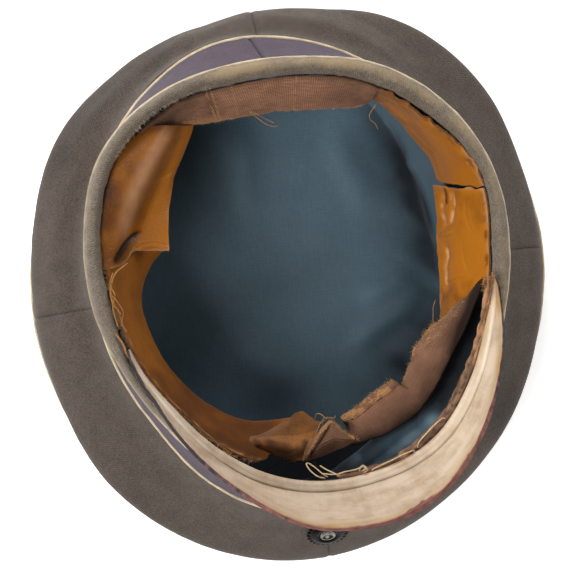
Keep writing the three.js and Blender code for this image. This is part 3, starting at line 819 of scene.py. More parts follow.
def black_lacquer(name):
    """Black lacquer on fibre: glossy, with fine scratches and a crackle."""
    material, node, place, _ = blank(name, 0.22, Coat_Weight=0.3, Coat_Roughness=0.1)
    # Scuffs of 5 mm, and a crackle of 6 mm.
    scuff = node("TexNoise", place, 1 / 0.005, 5.0, 0.7)
    crack = node("TexVoronoi", place, Scale=1 / 0.006, feature="DISTANCE_TO_EDGE")
    edge = node("MapRange", crack, 0.0, 0.05)
    tone = node("ValToRGB", scuff, stops=[(0.4, linear("#141213")), (0.75, linear("#2b2626"))])
    rough = node("MapRange", scuff, To_Min=0.12, To_Max=0.42)
    bump = node("Bump", Height=edge, Distance=0.0001, Strength=0.35)
    return finished(material, Base_Color=tone, Roughness=rough, Normal=bump)


def red_fibre(name):
    """The cut edge of vulcanised fibre: under black lacquer, and brick red, layered and dull where that has gone."""
    material, node, place, _ = blank(name, 0.75)
    # Layers of 0.7 mm, broken every 5 mm.
    layers = node("Mapping", place, Scale=(1 / 0.005, 1 / 0.005, 1400.0))
    grain = node("TexNoise", layers, 1.0, 4.0)
    tone = node("ValToRGB", grain, stops=[(0.35, linear("#5f352f")), (0.7, linear("#8a5a4e"))])
    base = node("Mix", node("Attribute", attribute_name="bare"), linear("#241a1b"), tone, data_type="RGBA")
    return finished(material, Base_Color=base, Normal=node("Bump", Height=grain, Distance=0.0002))


def thread_fibre(name, colour):
    """Waxed flax thread: matt, with a fine twist of 1 mm."""
    material, node, place, _ = blank(name, 0.7, Specular_IOR_Level=0.3)
    fine = node("TexNoise", place, 1 / 0.001, 3.0)
    return finished(material, Base_Color=node("ValToRGB", fine, stops=[(0.3, shaded(colour, 0.6)), (0.65, colour)]))


def stamped_metal(name, colour, roughness):
    """Stamped metal, blackened or silvered: rubbed, and dull in the hollows."""
    material, node, place, _ = blank(name, roughness, Metallic=1.0)
    # Tarnish in spots of 2.5 mm.
    tarnish = node("TexNoise", place, 1 / 0.0025, 4.0, 0.65)
    tone = node("ValToRGB", tarnish, stops=[(0.35, shaded(colour, 0.5)), (0.65, colour)])
    rough = node("MapRange", tarnish, To_Min=roughness * 1.4, To_Max=roughness * 0.7)
    bump = node("Bump", Height=tarnish, Distance=0.0001, Strength=0.4)
    return finished(material, Base_Color=tone, Roughness=rough, Normal=bump)


def lit_table(name):
    """A white acrylic table lit a little from below, which keeps the shadows on it faint."""
    white = (1.0, 1.0, 1.0, 1.0)
    material, node, place, _ = blank(name, 0.8, Specular_IOR_Level=0.1, Emission_Color=white, Emission_Strength=0.6)
    # Clouds of 200 mm, hardly to be seen.
    cloud = node("TexNoise", place, 1 / 0.2, 2.0)
    tone = node("ValToRGB", cloud, stops=[(0.3, linear("#f3f2f0")), (0.7, linear("#faf9f8"))])
    return finished(material, Base_Color=tone)


# --- Settings ------------------------------------------------------------------------------------


def length_setting(name, description, default):
    """A size of at most 1 cm."""
    return FloatProperty(name=name, description=description, default=default, min=0.0, max=0.01, unit="LENGTH",
                         subtype="DISTANCE", precision=5)


def colour_setting(name, description, default):
    """A colour, its default given in sRGB hex."""
    return FloatVectorProperty(name=name, description=description, default=linear(default), size=4, min=0.0,
                               max=1.0, subtype="COLOR")


class VISORCAP_Sizes(bpy.types.PropertyGroup):
    wool: length_setting("Wool", "Thickness of the crown's wool cloth", 0.0018)
    band_cloth: length_setting("Band cloth", "Thickness of the band round the cap", 0.0015)
    folded_wool: length_setting("Folded wool", "Thickness of the wool folded over the rim", 0.0020)
    leather: length_setting("Leather", "Thickness of the sweatband leather", 0.0011)
    linen: length_setting("Linen", "Thickness of the linen behind the sweatband", 0.0009)
    lining_cloth: length_setting("Lining", "Thickness of the cotton lining", 0.0008)
    visor_fibre: length_setting("Visor", "Thickness of the fibre visor", 0.0018)
    piping: length_setting("Piping", "Radius of the cords in the seams", 0.00098)
    thread: length_setting("Thread", "Radius of the sewing thread", 0.00031)
    crown_fold: length_setting("Crown folds", "Height of the soft folds in the crown's side", 0.0011)
    lining_fold: length_setting("Lining folds", "Height of the folds in the lining", 0.0022)


class VISORCAP_Colours(bpy.types.PropertyGroup):
    grey_wool: colour_setting("Grey wool", "Cloth of the crown", "#584e47")
    worn_wool: colour_setting("Worn wool", "Cloth folded over the rim", "#766b5e")
    violet_cloth: colour_setting("Violet cloth", "Cloth of the band", "#4b3e4c")
    cream_cord: colour_setting("Cream cord", "Pipings in the seams", "#d6c2a2")
    teal_cotton: colour_setting("Teal cotton", "Lining", "#617b8a")
    tan_leather: colour_setting("Tan leather", "Sweatband", "#a86618")
    suede: colour_setting("Suede", "Flesh side of the leather", "#94602f")
    brown_linen: colour_setting("Brown linen", "Linen behind the sweatband", "#835f4a")
    cream_fibre: colour_setting("Cream fibre", "Underside of the visor", "#d3c0a9")
    black_metal: colour_setting("Black metal", "Ring of the cockade", "#1d1a1a")
    silver: colour_setting("Silver", "Middle of the cockade", "#868078")


# --- Pieces --------------------------------------------------------------------------------------


# A soft fold pressed round the back of the crown's side, seen from above.
CROWN_RIDGE = [
    (-103.0, 62.0), (-94.3, 77.6), (-79.9, 92.7), (-69.0, 100.4), (-58.4, 106.6), (-47.6, 113.9), (-37.0, 119.7),
    (-26.8, 122.6), (-16.7, 125.0), (-6.7, 127.0), (-1.6, 127.8), (4.0, 126.4), (12.6, 125.0), (22.1, 122.9),
    (31.5, 120.1), (40.5, 115.3), (49.5, 109.7), (58.2, 102.5), (66.8, 94.5), (75.3, 85.4), (84.0, 74.0),
]
# A shallow valley where the left side turns up into the band, and the swell outside it.
CROWN_VALLEY = [
    (-66.0, 86.0), (-82.5, 73.3), (-92.2, 59.4), (-98.8, 43.3), (-102.4, 24.4), (-103.7, 5.2), (-100.0, -8.2),
    (-96.9, -22.4), (-91.6, -42.9),
]
CROWN_SWELL = [
    (-70.0, 98.0), (-83.2, 86.8), (-95.0, 72.6), (-103.8, 54.3), (-109.4, 35.6), (-113.0, 16.7), (-112.0, -6.0),
]
# The side panels and the angles at which they start; each takes up a quarter.
SIDE_PANELS = {"side_back_right": 0, "side_back_left": 90, "side_front_left": 180, "side_front_right": 270}


class VISORCAP_OT_crown(bpy.types.Operator):
    """Add the crown: its round top and the four side panels sewn round it"""

    bl_idname = "visor_cap.crown"
    bl_label = "Crown"
    bl_options = {"REGISTER", "UNDO"}

    def execute(self, context):
        sizes, colours = context.scene.visor_cap_sizes, context.scene.visor_cap_colours
        cloth = wool_cloth("grey wool twill, milled", colours.grey_wool)
        angle = np.arange(0, 360, 1.5)
        grid, run, flat = dished(angle, drawn(top_line(angle), np.linspace(0, 1, 20)), 14)
        puckers = 0.35 * rise(run / run[:, -1:], 0.7, 0.3) * noise(grid, (9, 9, 40), 2)
        sheet("crown_top_cloth", pushed(grid, -np.abs(puckers), True), sizes.wool / MM, [cloth], "grey_wool",
              "crown_top", closed=True, pole=True, flat=flat, held="stretched", rests_on=["floor"])
        # A panel's section lines stand closer together beside its seams.
        steps = np.concatenate([[0, 0.25, 0.5, 0.8, 1.2], np.linspace(1.8, 88.0, 112), [88.6, 89.0, 89.3, 89.55, 89.8]])
        v = np.linspace(0, 1, 44)
        for name, start in SIDE_PANELS.items():
            angle = start + 0.1 + steps
            turn = angle[:, None]
            grid = turned(angle, drawn(side_line(angle), v, 1.1, 1.0))
            # Soft folds run down from the band, deepest half way, and the panel turns in along its seams.
            from_seam = np.minimum(turn - start, start + 90 - turn) * 2.1
            folds = noise(np.stack(np.broadcast_arrays(turn, v * 34.0, 0 * v), -1), (9, 26, 1), 3, 3)
            calm = np.clip(apart(turn, 0) / 60, 0.25, 1) * np.sin(np.pi * rise(v, 0, 1 / 1.15))
            soft = sizes.crown_fold / MM * folds * calm * rise(from_seam, 0, 8)
            pucker = 0.3 * noise(grid, 5.5, 4) * (np.exp(-v * 9) + np.exp(-(1 - v) * 9))
            seam = 0.12 * hump(from_seam, 2.2, 1.3) - 0.45 * hump(from_seam, 0, 0.9, 1.3)
            distance, ends = near_line(grid, CROWN_RIDGE, 0.22)
            ridge = 3.2 * ends * np.clip(1.08 - np.sqrt((distance / 10) ** 2 + 0.008), 0, 1)
            left = creases(grid, (CROWN_VALLEY, 5.5, -3.0), (CROWN_SWELL, 7.0, 1.4))
            # Painted shade darkens the crown along its edge at the back left, beside the visor's right end, and in its
            # seams.
            grime = 0.32 * rise(away(grid), 117, 6) * rise(turn, 104, 8) * fall(turn, 154, 10)
            grime = grime + 0.38 * hump(away(grid, 88, -73), 0, 13)
            sheet(name + "_cloth", pushed(grid, -(soft + pucker + seam + ridge + left)), sizes.wool / MM, [cloth],
                  "grey_wool", name, flip=True, held="stretched", rests_on=["crown_top"],
                  dip=np.clip(0.75 * hump(from_seam, 0, 0.6) + grime, 0, 1))
        return {"FINISHED"}


class VISORCAP_OT_pipings(bpy.types.Operator):
    """Add the three cream cords sewn into the seams"""

    bl_idname = "visor_cap.pipings"
    bl_label = "Pipings"
    bl_options = {"REGISTER", "UNDO"}

    def execute(self, context):
        sizes, colours = context.scene.visor_cap_sizes, context.scene.visor_cap_colours
        cloth = piping_cloth("cream wool piping", colours.cream_cord)
        angle = np.arange(0, 360, 0.6)
        # On the left the crown's cord is tucked under its side, and painted shade darkens the rim's.
        tucked, grubby = 0.5 * fall(np.abs(angle - 195), 70, 20), 0.62 * fall(np.abs(angle - 180), 52, 20)
        for k, (name, line, tuck, grime) in enumerate([
            ("crown_piping", crown_piping_line, tucked, 0 * angle),
            ("upper_piping", upper_piping_line, 0 * angle, 0 * angle),
            ("lower_piping", lower_piping_line, 0 * angle, grubby),
        ]):
            path = turned(angle, line(angle))[:, 0]
            path[:, 2] += 0.22 * noise(path, 11, 5 + k)
            path += outwards(path) * (0.16 * noise(path, 7, 8 + k) - tuck)[:, None]
            radius = sizes.piping / MM * (1 + 0.07 * noise(path, 2.6, 11 + k))
            piece = tubes(name + "_cord", [path], radius, cloth, "cream_cord", name, sides=10, closed=True)
            marked(piece, {"grime": np.repeat(grime, 10)})
        return {"FINISHED"}


class VISORCAP_OT_band(bpy.types.Operator):
    """Add the violet band between the two pipings, with its slanting seam at the back"""

    bl_idname = "visor_cap.band"
    bl_label = "Band"
    bl_options = {"REGISTER", "UNDO"}

    def execute(self, context):
        sizes, colours = context.scene.visor_cap_sizes, context.scene.visor_cap_colours
        cloth = wool_cloth("violet wool cloth, milled", colours.violet_cloth)
        angle = np.concatenate([np.arange(0, 88, 0.75), np.arange(88, 95, 0.15), np.arange(95, 360, 0.75)])
        v = np.linspace(0, 1, 30)
        grid = turned(angle, drawn(band_line(angle), v, 0.5, 0.5))
        seam = np.abs(angle[:, None] - (92.1 - 1.8 * v)) * 1.95
        groove = 0.25 * hump(seam, 2.2, 1.2) - 0.8 * hump(seam, 0, 0.8)
        soft = 0.5 * noise(grid, (24, 24, 60), 14, 2) * np.sin(np.pi * v)
        pucker = 0.2 * noise(grid, 5, 15) * (np.exp(-v * 8) + np.exp(-(1 - v) * 8))
        # Painted shade darkens the seam's groove.
        sheet("band_cloth", pushed(grid, groove + soft + pucker, True), sizes.band_cloth / MM, [cloth], "violet_cloth",
              "band", closed=True, held="stretched", rests_on=["crown_top"], dip=0.85 * hump(seam, 0, 0.75))
        return {"FINISHED"}


# Where the binding sheds fibres: first and last angle, row, how many, and their length in mm.
RIM_FUZZ = [
    (106, 139, 14, 420, 2.2), (139, 190, 15, 160, 1.0), (60, 106, 12, 120, 0.9), (18, 60, 14, 160, 1.1),
    (190, 215, 14, 50, 1.0),
]


class VISORCAP_OT_binding(bpy.types.Operator):
    """Add the wool rolled over the rim, its crest rubbed pale and its inner edge frayed"""

    bl_idname = "visor_cap.binding"
    bl_label = "Rim binding"
    bl_options = {"REGISTER", "UNDO"}

    def execute(self, context):
        sizes, colours = context.scene.visor_cap_sizes, context.scene.visor_cap_colours
        cloth = wool_cloth("worn grey wool, rolled", colours.worn_wool, worn=True)
        angle = np.arange(0, 360, 0.6)
        turn, v = angle[:, None], np.linspace(0, 1, 26)
        grid = turned(angle, drawn(binding_line(angle), v))
        lumps = 0.35 * noise(grid, 7, 21, 3) + 0.25 * noise(grid, 2.2, 22)
        torn = hump(turn, 122, 17) * rise(v, 0.35, 0.3)
        grid = pushed(grid, lumps - 0.9 * torn * np.abs(noise(grid, 3.0, 23, 2)), True)
        wear = hump(v, 0.36, 0.2) * (0.45 + 0.55 * fall(apart(turn, 48), 85, 30) + 0.4 * noise(grid, 14, 24, 2))
        sheet("rim_binding_cloth", grid, sizes.folded_wool / MM, [cloth], "worn_wool", "rim_binding", closed=True,
              held="folded", rests_on=["band"], wear=wear)
        facing, fringe = normals(grid, True), []
        for spot, (low, high, row, count, length) in enumerate(RIM_FUZZ):
            part = (angle >= low) & (angle < high)
            edge = grid[part, row]
            fringe += fibres(edge, facing[part, row] * 0.7 - outwards(edge), count, length, 30 + spot)
        tubes("rim_fuzz", fringe, 0.075, thread_fibre("wool fibres", linear("#a8947a")), "worn_wool", sides=3)
        return {"FINISHED"}


# Soft folds in the lining's bottom: path, half width and height in mm.
LINING_FOLDS = [
    ([(-14.0, 84.0), (-13.0, 70.0), (-14.0, 54.0), (-18.0, 36.0)], 6.5, 2.2),
    ([(-34.0, 80.0), (-36.0, 66.0), (-35.0, 48.0)], 6.0, 1.8),
    ([(30.0, 78.0), (36.0, 61.0), (42.0, 42.0), (47.0, 22.0)], 7.5, 2.0),
    ([(70.0, -12.0), (52.0, -22.0), (36.0, -30.0), (20.0, -40.0)], 4.5, 2.8),
    ([(70.0, -30.0), (55.0, -38.0), (40.0, -46.0)], 4.5, 2.4),
    ([(66.0, 2.0), (50.0, -8.0), (30.0, -14.0)], 5.5, 1.8),
    ([(-40.0, -20.0), (-24.0, -34.0), (-6.0, -44.0), (14.0, -50.0)], 8.0, 1.6),
    ([(-6.0, 30.0), (10.0, 22.0), (28.0, 18.0)], 6.0, 0.9),
    ([(-30.0, 8.0), (-14.0, -4.0), (4.0, -10.0), (24.0, -12.0)], 6.0, 0.8),
]
# Where the lining's wall turns up on the right: angles and radii.
LINING_TURN = (
    [-20, 0, 9, 24.8, 32.6, 36.5, 40, 45, 51.6, 58, 70],
    [84, 78, 76, 80.4, 83.6, 84.4, 88.6, 92.0, 94.6, 99.5, 106],
)
# Places of painted shade in the lining's bottom: x, y, half width and strength.
LINING_SHADES = [(52, 58, 16, 0.36), (46, -42, 20, 0.3), (-12, -58, 24, 0.55), (-56, -28, 24, 0.4)]
# The crumpled fold that shows between the linen and the visor.
FRONT_FOLD = [(13.8, -91.2), (22.1, -87.2), (30.0, -84.0), (39.3, -80.2), (49.1, -76.0), (57.0, -69.5)]


class VISORCAP_OT_lining(bpy.types.Operator):
    """Add the cotton lining: a loose bag with a flat bottom and crumpled walls"""

    bl_idname = "visor_cap.lining"
    bl_label = "Lining"
    bl_options = {"REGISTER", "UNDO"}

    def execute(self, context):
        sizes, colours = context.scene.visor_cap_sizes, context.scene.visor_cap_colours
        cloth = lining_cotton("teal cotton sateen", colours.teal_cotton)
        angle = np.arange(0, 360, 1.0)
        grid, run, flat = dished(angle, drawn(lining_line(angle), np.linspace(0, 1, 72)), 26)
        turn, around, up = angle[:, None], np.radians(angle)[:, None] * 60, grid[..., 2]
        # Crumples in the wall, and soft folds in the bottom.
        soft = noise(np.stack([around + 0 * run, run * 0.9, 0 * run], -1), (17, 40, 1), 41, 3)
        sharp = 1 - 2 * np.abs(noise(np.stack([around + run * 0.22, run * 0.5, 0 * run], -1), (15, 22, 1), 43))
        crumple = sizes.lining_fold / MM * rise(up, 6, 16) * fall(up, 86, 14) * (soft + 0.5 * sharp)
        swell = 0.95 * noise(flat[..., [0, 1, 1]], 34, 44, 2) + 0.15 * noise(flat[..., [0, 1, 1]], 12, 45)
        folds = sum(crease(grid, *fold, 0.35) for fold in LINING_FOLDS)
        lift = fall(up, 10, 6) * rise(run, 0, 40) * (1.1 + swell + folds)
        # On the right the bag has a fold: the wall turns up early, with a shaded hollow in front of it.
        window = fall(apart(turn, 30), 38, 12)
        beyond = away(grid) - np.interp((turn + 180) % 360 - 180, *LINING_TURN)
        lift += window * np.clip(beyond, 0, 8) * 1.1 * fall(up, 50, 20)
        grid = pushed(grid, crumple, True)
        # Painted shade darkens that hollow, the shaded places, the right side and the front under the linen.
        past = rise(beyond, -1.5, 3)
        shade = 0.62 * window * hump(beyond, -2, 10)
        for x, y, wide, deep in LINING_SHADES:
            shade = shade + deep * hump(away(grid, x, y), 0, wide)
        slant = np.stack([grid[..., 0] + grid[..., 1], (grid[..., 1] - grid[..., 0]) * 0.3, 0 * run], -1)
        shade += fall(apart(turn, -12), 62, 25) * rise(run, 43, 22) * (0.5 + 0.3 * noise(slant, 17, 48, 2))
        front = rise(turn, 232, 8) * fall(turn, 352, 6) * rise(away(grid), 76, 6)
        high = grid[..., 2] > 50
        pale = np.clip(crease(grid, FRONT_FOLD, 4.0, 1.0, 0.15) + 0.35 * noise(grid, (7, 7, 12), 47, 2), 0, 1)
        front = front * (1 - 0.85 * pale * rise(turn, 276, 6) * high)
        soil = np.clip(shade * (1 - past) + 0.42 * window * past + front, 0, 1)
        grid = pushed(grid, -crease(grid, FRONT_FOLD, 2.6, 1.6, 0.2) * high, True)
        grid[..., 2] += np.clip(lift, -0.2, 9)
        sheet("lining_cloth", grid, sizes.lining_cloth / MM, [cloth], "teal_cotton", "lining", closed=True, flip=True,
              flat=flat, pole=True, held="hung", rests_on=["rim_binding"], soil=soil)
        return {"FINISHED"}


# How far the visor's sewing flange reaches up its section line before the plate starts, in mm.
VISOR_FLANGE = 10.6
# Where the visor's edge has lost its cream coat: angle and width of the bare rim in mm.
CHIPS = np.array([
    [196, 0.2], [230, 0.3], [245, 0.6], [251, 0.8], [262, 0.8], [270, 0.9], [276, 0.9], [280, 1.0], [283, 1.7],
    [286, 3.2], [290, 3.8], [293, 1.3], [296, 0.8], [298, 2.6], [303, 2.2], [306, 0.6], [309, 1.0], [314, 1.0],
    [317, 0.5], [330, 0.3], [351, 0.2],
])
# A brown streak on the visor's right, seen from above.
VISOR_STREAK = [(85.5, -26.0), (82.5, -36.0), (79.1, -44.1), (75.3, -51.4), (69.0, -60.5)]


class VISORCAP_OT_visor(bpy.types.Operator):
    """Add the visor: cream below, black lacquer above, its bare edge chipped to the red fibre"""

    bl_idname = "visor_cap.visor"
    bl_label = "Visor"
    bl_options = {"REGISTER", "UNDO"}

    def execute(self, context):
        sizes, colours = context.scene.visor_cap_sizes, context.scene.visor_cap_colours
        looks = [coated_fibre("cream coated fibre", colours.cream_fibre), black_lacquer("black lacquered fibre"),
                 red_fibre("red vulcanised fibre, lacquered")]
        angle = np.linspace(196, 351, 340)
        turn = angle[:, None]
        line = drawn(visor_line(angle), np.linspace(0, 1, 84))
        run, grid = run_over(line), turned(angle, line)
        from_root, from_edge = run - VISOR_FLANGE, run[:, -1:] - run
        # The root is pressed into a round bead with a groove beside it.
        size = rise(read(VISOR_EDGE, 2, turn), 0, 22)
        bead = 1.6 * hump(from_root, 1.6, 1.6) - 0.9 * hump(from_root, 5.2, 1.5) - 0.7 * hump(from_root, 4.5, 0.5)
        rim = read(CHIPS, 1, turn)
        chip = rise(rim * (1 + 0.45 * noise(grid, 2.2, 51, 3)), from_edge, 0.35)
        warp = 0.5 * noise(grid, 40, 52, 2) * rise(from_root, 0, 15)
        grid = pushed(grid, -(size * bead - 0.35 * chip + warp))
        bare = rise(rim * (1 + 0.5 * noise(grid, 2.5, 54, 2)), 0.35, 0.2)
        stain = np.exp(-from_edge / 7.0) * (0.85 + 0.5 * noise(grid, 13, 53, 2)) * rise(turn, 240, 20)
        stain = stain + crease(grid, VISOR_STREAK, 1.1, 0.55)
        # Painted shade darkens the groove and a little of the left; the flange and the right end are darkened too.
        groove = 0.25 * hump(from_root, 5.2, 1.6) + 0.5 * hump(from_root, 4.6, 0.55)
        corner = rise(turn + 0.6 * noise(grid, 3, 55, 2), 343.5, 3) * fall(from_root, 5.5, 5)
        dirt = groove * size + 0.9 * fall(from_root, 0.4, 1.6) + 0.2 * fall(turn, 305, 40) + 0.9 * corner
        # A painted highlight lightens the bead's crest.
        rub = 0.75 * size * hump(from_root, 3.3, 0.6) * np.clip(0.8 + 0.5 * noise(grid, 8, 49, 2), 0, 1)
        sheet("visor_plate", grid, sizes.visor_fibre / MM, looks, "cream_fibre", "visor", flip=True, rub=rub,
              chip=chip, stain=stain, dirt=np.clip(dirt, 0, 1), bare=bare)
        return {"FINISHED"}


# The left upper leather, as lines from the linen towards the visor: sewn edge, slope, ridge, valley and loose edge.
LEFT_FOLDS = [
    [(-62.0, 78.5, 79), (-69.0, 73.8, 80.5), (-75.5, 67.5, 82), (-81.0, 59.8, 83), (-85.3, 51.5, 83.6),
     (-88.2, 42.0, 84), (-89.8, 30.0, 84), (-90.0, 19.5, 83.5), (-88.6, 14.0, 83)],
    [(-57.0, 78.0, 80.5), (-66.2, 68.2, 83), (-73.3, 60.4, 84.6), (-79.0, 51.0, 85), (-83.0, 40.5, 85),
     (-86.0, 28.0, 84.6), (-87.2, 15.0, 83)],
    [(-50.0, 77.8, 79), (-58.4, 67.3, 82.4), (-65.3, 58.3, 83.6), (-71.6, 47.2, 83.4), (-76.2, 37.3, 82.5),
     (-79.6, 27.7, 80.8), (-83.4, 15.6, 79)],
    [(-45.5, 77.6, 74), (-52.6, 66.6, 76.5), (-59.2, 57.4, 77), (-65.6, 47.4, 76.5), (-70.6, 38.2, 75.5),
     (-74.6, 29.6, 73), (-79.6, 17.6, 70)],
    [(-42.0, 77.8, 68), (-48.6, 66.0, 68), (-54.8, 56.7, 67.4), (-60.6, 47.5, 66.8), (-65.2, 39.0, 66.2),
     (-68.8, 31.2, 66), (-73.6, 22.8, 66)],
    [(-39.5, 78.2, 64), (-44.6, 67.4, 63.4), (-50.0, 57.4, 63), (-54.8, 48.2, 62.6), (-59.0, 38.6, 62.4),
     (-62.0, 29.8, 62.6), (-65.0, 22.2, 63)],
    [(-37.0, 79.0, 61), (-39.0, 74.0, 60), (-43.0, 67.0, 60), (-48.0, 58.5, 60), (-50.0, 55.0, 60), (-51.6, 49.4, 60),
     (-54.4, 40.0, 60), (-56.0, 28.6, 61), (-56.6, 21.0, 62)],
]
# The flap of leather beside the linen, as lines from its lower edge to its loose one.
FLAP_FOLDS = [
    [(-35.1, -73.6, 69), (-33.4, -75.7, 70), (-30.8, -76.5, 71), (-28.9, -78.0, 72), (-23.5, -79.9, 73),
     (-18.0, -81.9, 74), (-12.4, -84.6, 75), (-8.4, -85.0, 75)],
    [(-35.0, -73.3, 70), (-31.6, -74.2, 73), (-28.0, -74.8, 76), (-23.4, -76.4, 78), (-18.0, -77.6, 79),
     (-13.0, -79.0, 78.5), (-7.6, -78.8, 75.5), (-2.8, -76.8, 73)],
    [(-34.9, -73.0, 70.5), (-31.0, -72.6, 73), (-26.6, -72.4, 74.5), (-21.4, -72.8, 75.5), (-16.2, -73.2, 76),
     (-10.8, -74.0, 75), (-5.6, -73.8, 73), (-0.4, -72.6, 71.5)],
    [(-34.8, -72.8, 70), (-30.6, -71.8, 71), (-26.4, -71.4, 72), (-21.0, -70.9, 73), (-15.4, -70.2, 73),
     (-9.8, -70.0, 72.5), (-4.2, -69.6, 71), (1.4, -70.2, 70)],
    [(-34.7, -72.6, 68.5), (-30.8, -71.2, 69), (-27.2, -71.0, 69), (-21.2, -69.3, 69), (-17.2, -67.6, 69),
     (-12.3, -65.8, 69), (-9.2, -63.0, 69.5), (-5.8, -62.6, 69.5), (-2.8, -65.3, 69), (0.0, -68.0, 69),
     (3.2, -69.4, 69)],
]


class VISORCAP_OT_sweatband(bpy.types.Operator):
    """Add what is left of the leather sweatband: torn, cracked and curled strips"""

    bl_idname = "visor_cap.sweatband"
    bl_label = "Sweatband"
    bl_options = {"REGISTER", "UNDO"}

    def execute(self, context):
        sizes, colours = context.scene.visor_cap_sizes, context.scene.visor_cap_colours
        back = suede_leather("flesh side of sheepskin", colours.suede)
        looks = [glazed_leather("glazed tan sheepskin", colours.tan_leather), back, back]
        # The glossy strips carry paler painted highlights.
        glossy = [glazed_leather("glazed tan sheepskin, kept glossy", colours.tan_leather, 0.45, "#dcae84"), back, back]
        thickness = sizes.leather / MM
        hung = dict(slot="tan_leather", held="hung", rests_on=["rim_binding"])

        def torn(seed, amount):
            return lambda a: amount * noise_along(a * 1.4, 3.2, seed, 3)

        def ends(seed, amount):
            return [lambda v, k=k: amount * noise_along(v * 50, 6, seed + k, 3) for k in (0, 1)]

        def patches(grid, size, seed, octaves, share, least):
            return np.clip(noise(grid, size, seed, octaves) * share + least, 0, 1)

        # Left, upper: it folds over a ridge, drops into a valley, then flares to its loose edge.
        grid = spanned(LEFT_FOLDS)
        u, v = shares(grid)
        inwards = [(-66.5, 33.0), (-71.0, 30.4), (-76.0, 26.4), (-81.5, 19.4), (-84.0, 15.2)]
        pocket = crease(grid, inwards, 1.3, -1.0, 0.3)
        small = creases(
            grid, ([(-56.6, 22.4), (-63.5, 24.6), (-69.5, 24.6), (-75.5, 20.6), (-81.0, 14.6)], 1.3, 1.3, 0.1),
            ([(-46.8, 60.4), (-51, 57.2), (-56, 55), (-61, 52.2)], 0.7, -0.35, 0.2),
            ([(-42.0, 73.6), (-47.0, 71.6), (-53.5, 71.6)], 0.8, 0.35, 0.2),
        )
        grid = pushed(grid, 1.6 * pocket + small + 0.1 * noise(grid, 9, 62, 3))
        # Painted shade darkens the valley and the pocket, and a painted highlight lies along the ridge; it is also
        # darker towards its sewn edge.
        stain = 0.2 + 0.44 * fall(v, 0.6, 0.5) * (0.8 + 0.4 * noise(grid, 14, 59, 2)) + 0.12 * hump(v, 0.56, 0.08)
        stain = stain - 0.2 * rise(v, 0.64, 0.1) + 0.85 * np.clip(-1.15 * pocket, 0, 1) ** 1.5
        bloom = hump(v, 0.4, 0.085) * rise(u, 0, 1 / 9) * fall(u, 0.88, 0.2) * (0.85 + 0.3 * noise(grid, 8, 58, 2))
        sheet("sweatband_left_upper_leather", grid, thickness, looks, node="sweatband_left_upper", **hung,
              stain=stain, bloom=bloom, raw=0.5 * hump(v, 1, 0.012) + 0.85 * hump(u, 1, 0.014) * (v > 0.25))
        edges = [(grid[-1], [-0.3, -0.8, 0.3], 70, 1.0)]

        # Left, lower: darker, its sewn edge torn to fibres.
        grid, angle, v = strip_grid("sweatband_left_lower", 0.9, torn(64, 0.12), ends(63, 0.8))
        grid = pushed(grid, 0.5 * noise(grid, (30, 30, 34), 65, 2))
        stain = 0.19 + 0.03 * noise(grid, 16, 66, 2) + 0.14 * (1 - v) ** 2
        stain = stain + 0.25 * rise(angle, 196, 20) + 0.05 * rise(angle, 232, 15)
        raw = 0.35 * hump(v, 1, 0.015) + 0.8 * hump(v, 0, 0.05) * patches(grid, 4, 61, 2, 1, 0.4)
        sheet("sweatband_left_lower_leather", grid, thickness, looks, node="sweatband_left_lower", **hung,
              stain=stain, raw=raw)
        root = grid[60:, 0]
        edges += [(grid[:60, 0], [-0.8, 0.1, 0.7], 220, 3.0), (grid[0], [0.2, 0.9, 0.5], 60, 1.6)]

        # Right, upper: its sewn edge pulled off the rim in bites.
        grid, angle, v = strip_grid("sweatband_right_upper", 0.7, torn(68, 0.12), ends(67, 0.35))
        bites = 1.9 * np.abs(noise_along(angle * 1.7, 5, 69, 3)) * fall(v, 0.12, 0.12)
        grid = pushed(grid, -bites - 0.5 * noise(grid, 12, 70, 2))
        stain = 0.08 + 0.12 * fall(v, 0.35, 0.35) + 0.08 * noise(grid, 9, 71, 3) + 0.2 * rise(angle, 51, 7)
        stain = stain + 0.3 * hump(v, 0.04, 0.04) * patches(grid, 3.5, 97, 3, 1.6, 0.1)
        raw = 0.85 * hump(v, 0, 0.045) * patches(grid, 5, 60, 2, 1, 0.7) + 0.4 * hump(v, 1, 0.02)
        sheet("sweatband_right_upper_leather", grid, thickness, glossy, node="sweatband_right_upper", **hung,
              stain=stain, raw=raw, gloss=1.0)
        edges += [(grid[::2, 0], [0.6, 0.4, 0.7], 70, 0.9)]

        # Right, lower: cracked from the upper one, its loose edge curled.
        grid, angle, v = strip_grid("sweatband_right_lower", 0.7, torn(73, 0.1), ends(72, 0.35))
        curl = creases(
            grid, ([(76.4, 34.0), (76.1, 29.8), (74.6, 22.0), (74.8, 16.1), (74.0, 11.0)], 0.9, 1.6),
            ([(73.4, 8.5), (73.8, 2.9), (72.5, -3.6), (71.7, -11.2), (71.0, -18.7)], 1.1, 1.1),
            ([(79.6, 33.0), (79.4, 30.2), (79.0, 23.3), (76.9, 15.6), (74.4, 12.2)], 0.9, 1.5),
        )
        split = crease(grid, [(77.2, 34.0), (77.6, 29.0), (76.9, 22.6)], 0.55, -0.8)
        fine = creases(
            grid, ([(71.5, 10.8), (74.5, 10.6), (78, 11.0)], 0.7, -0.8),
            ([(70.5, -12), (76, -10.5), (80, -11)], 0.6, -0.35), ([(84, 26), (83, 18), (84.5, 8)], 0.5, 0.35),
            ([(80.5, 8), (79.5, -2), (80.5, -10)], 0.5, 0.3),
        )
        wrinkles = 0.2 * noise(grid, (9, 2.6, 9), 74, 2) * rise(v, 0.4, 1 / 3)
        grid = pushed(grid, wrinkles - (curl + split + fine) + 0.5 * noise(grid, 16, 76, 2))
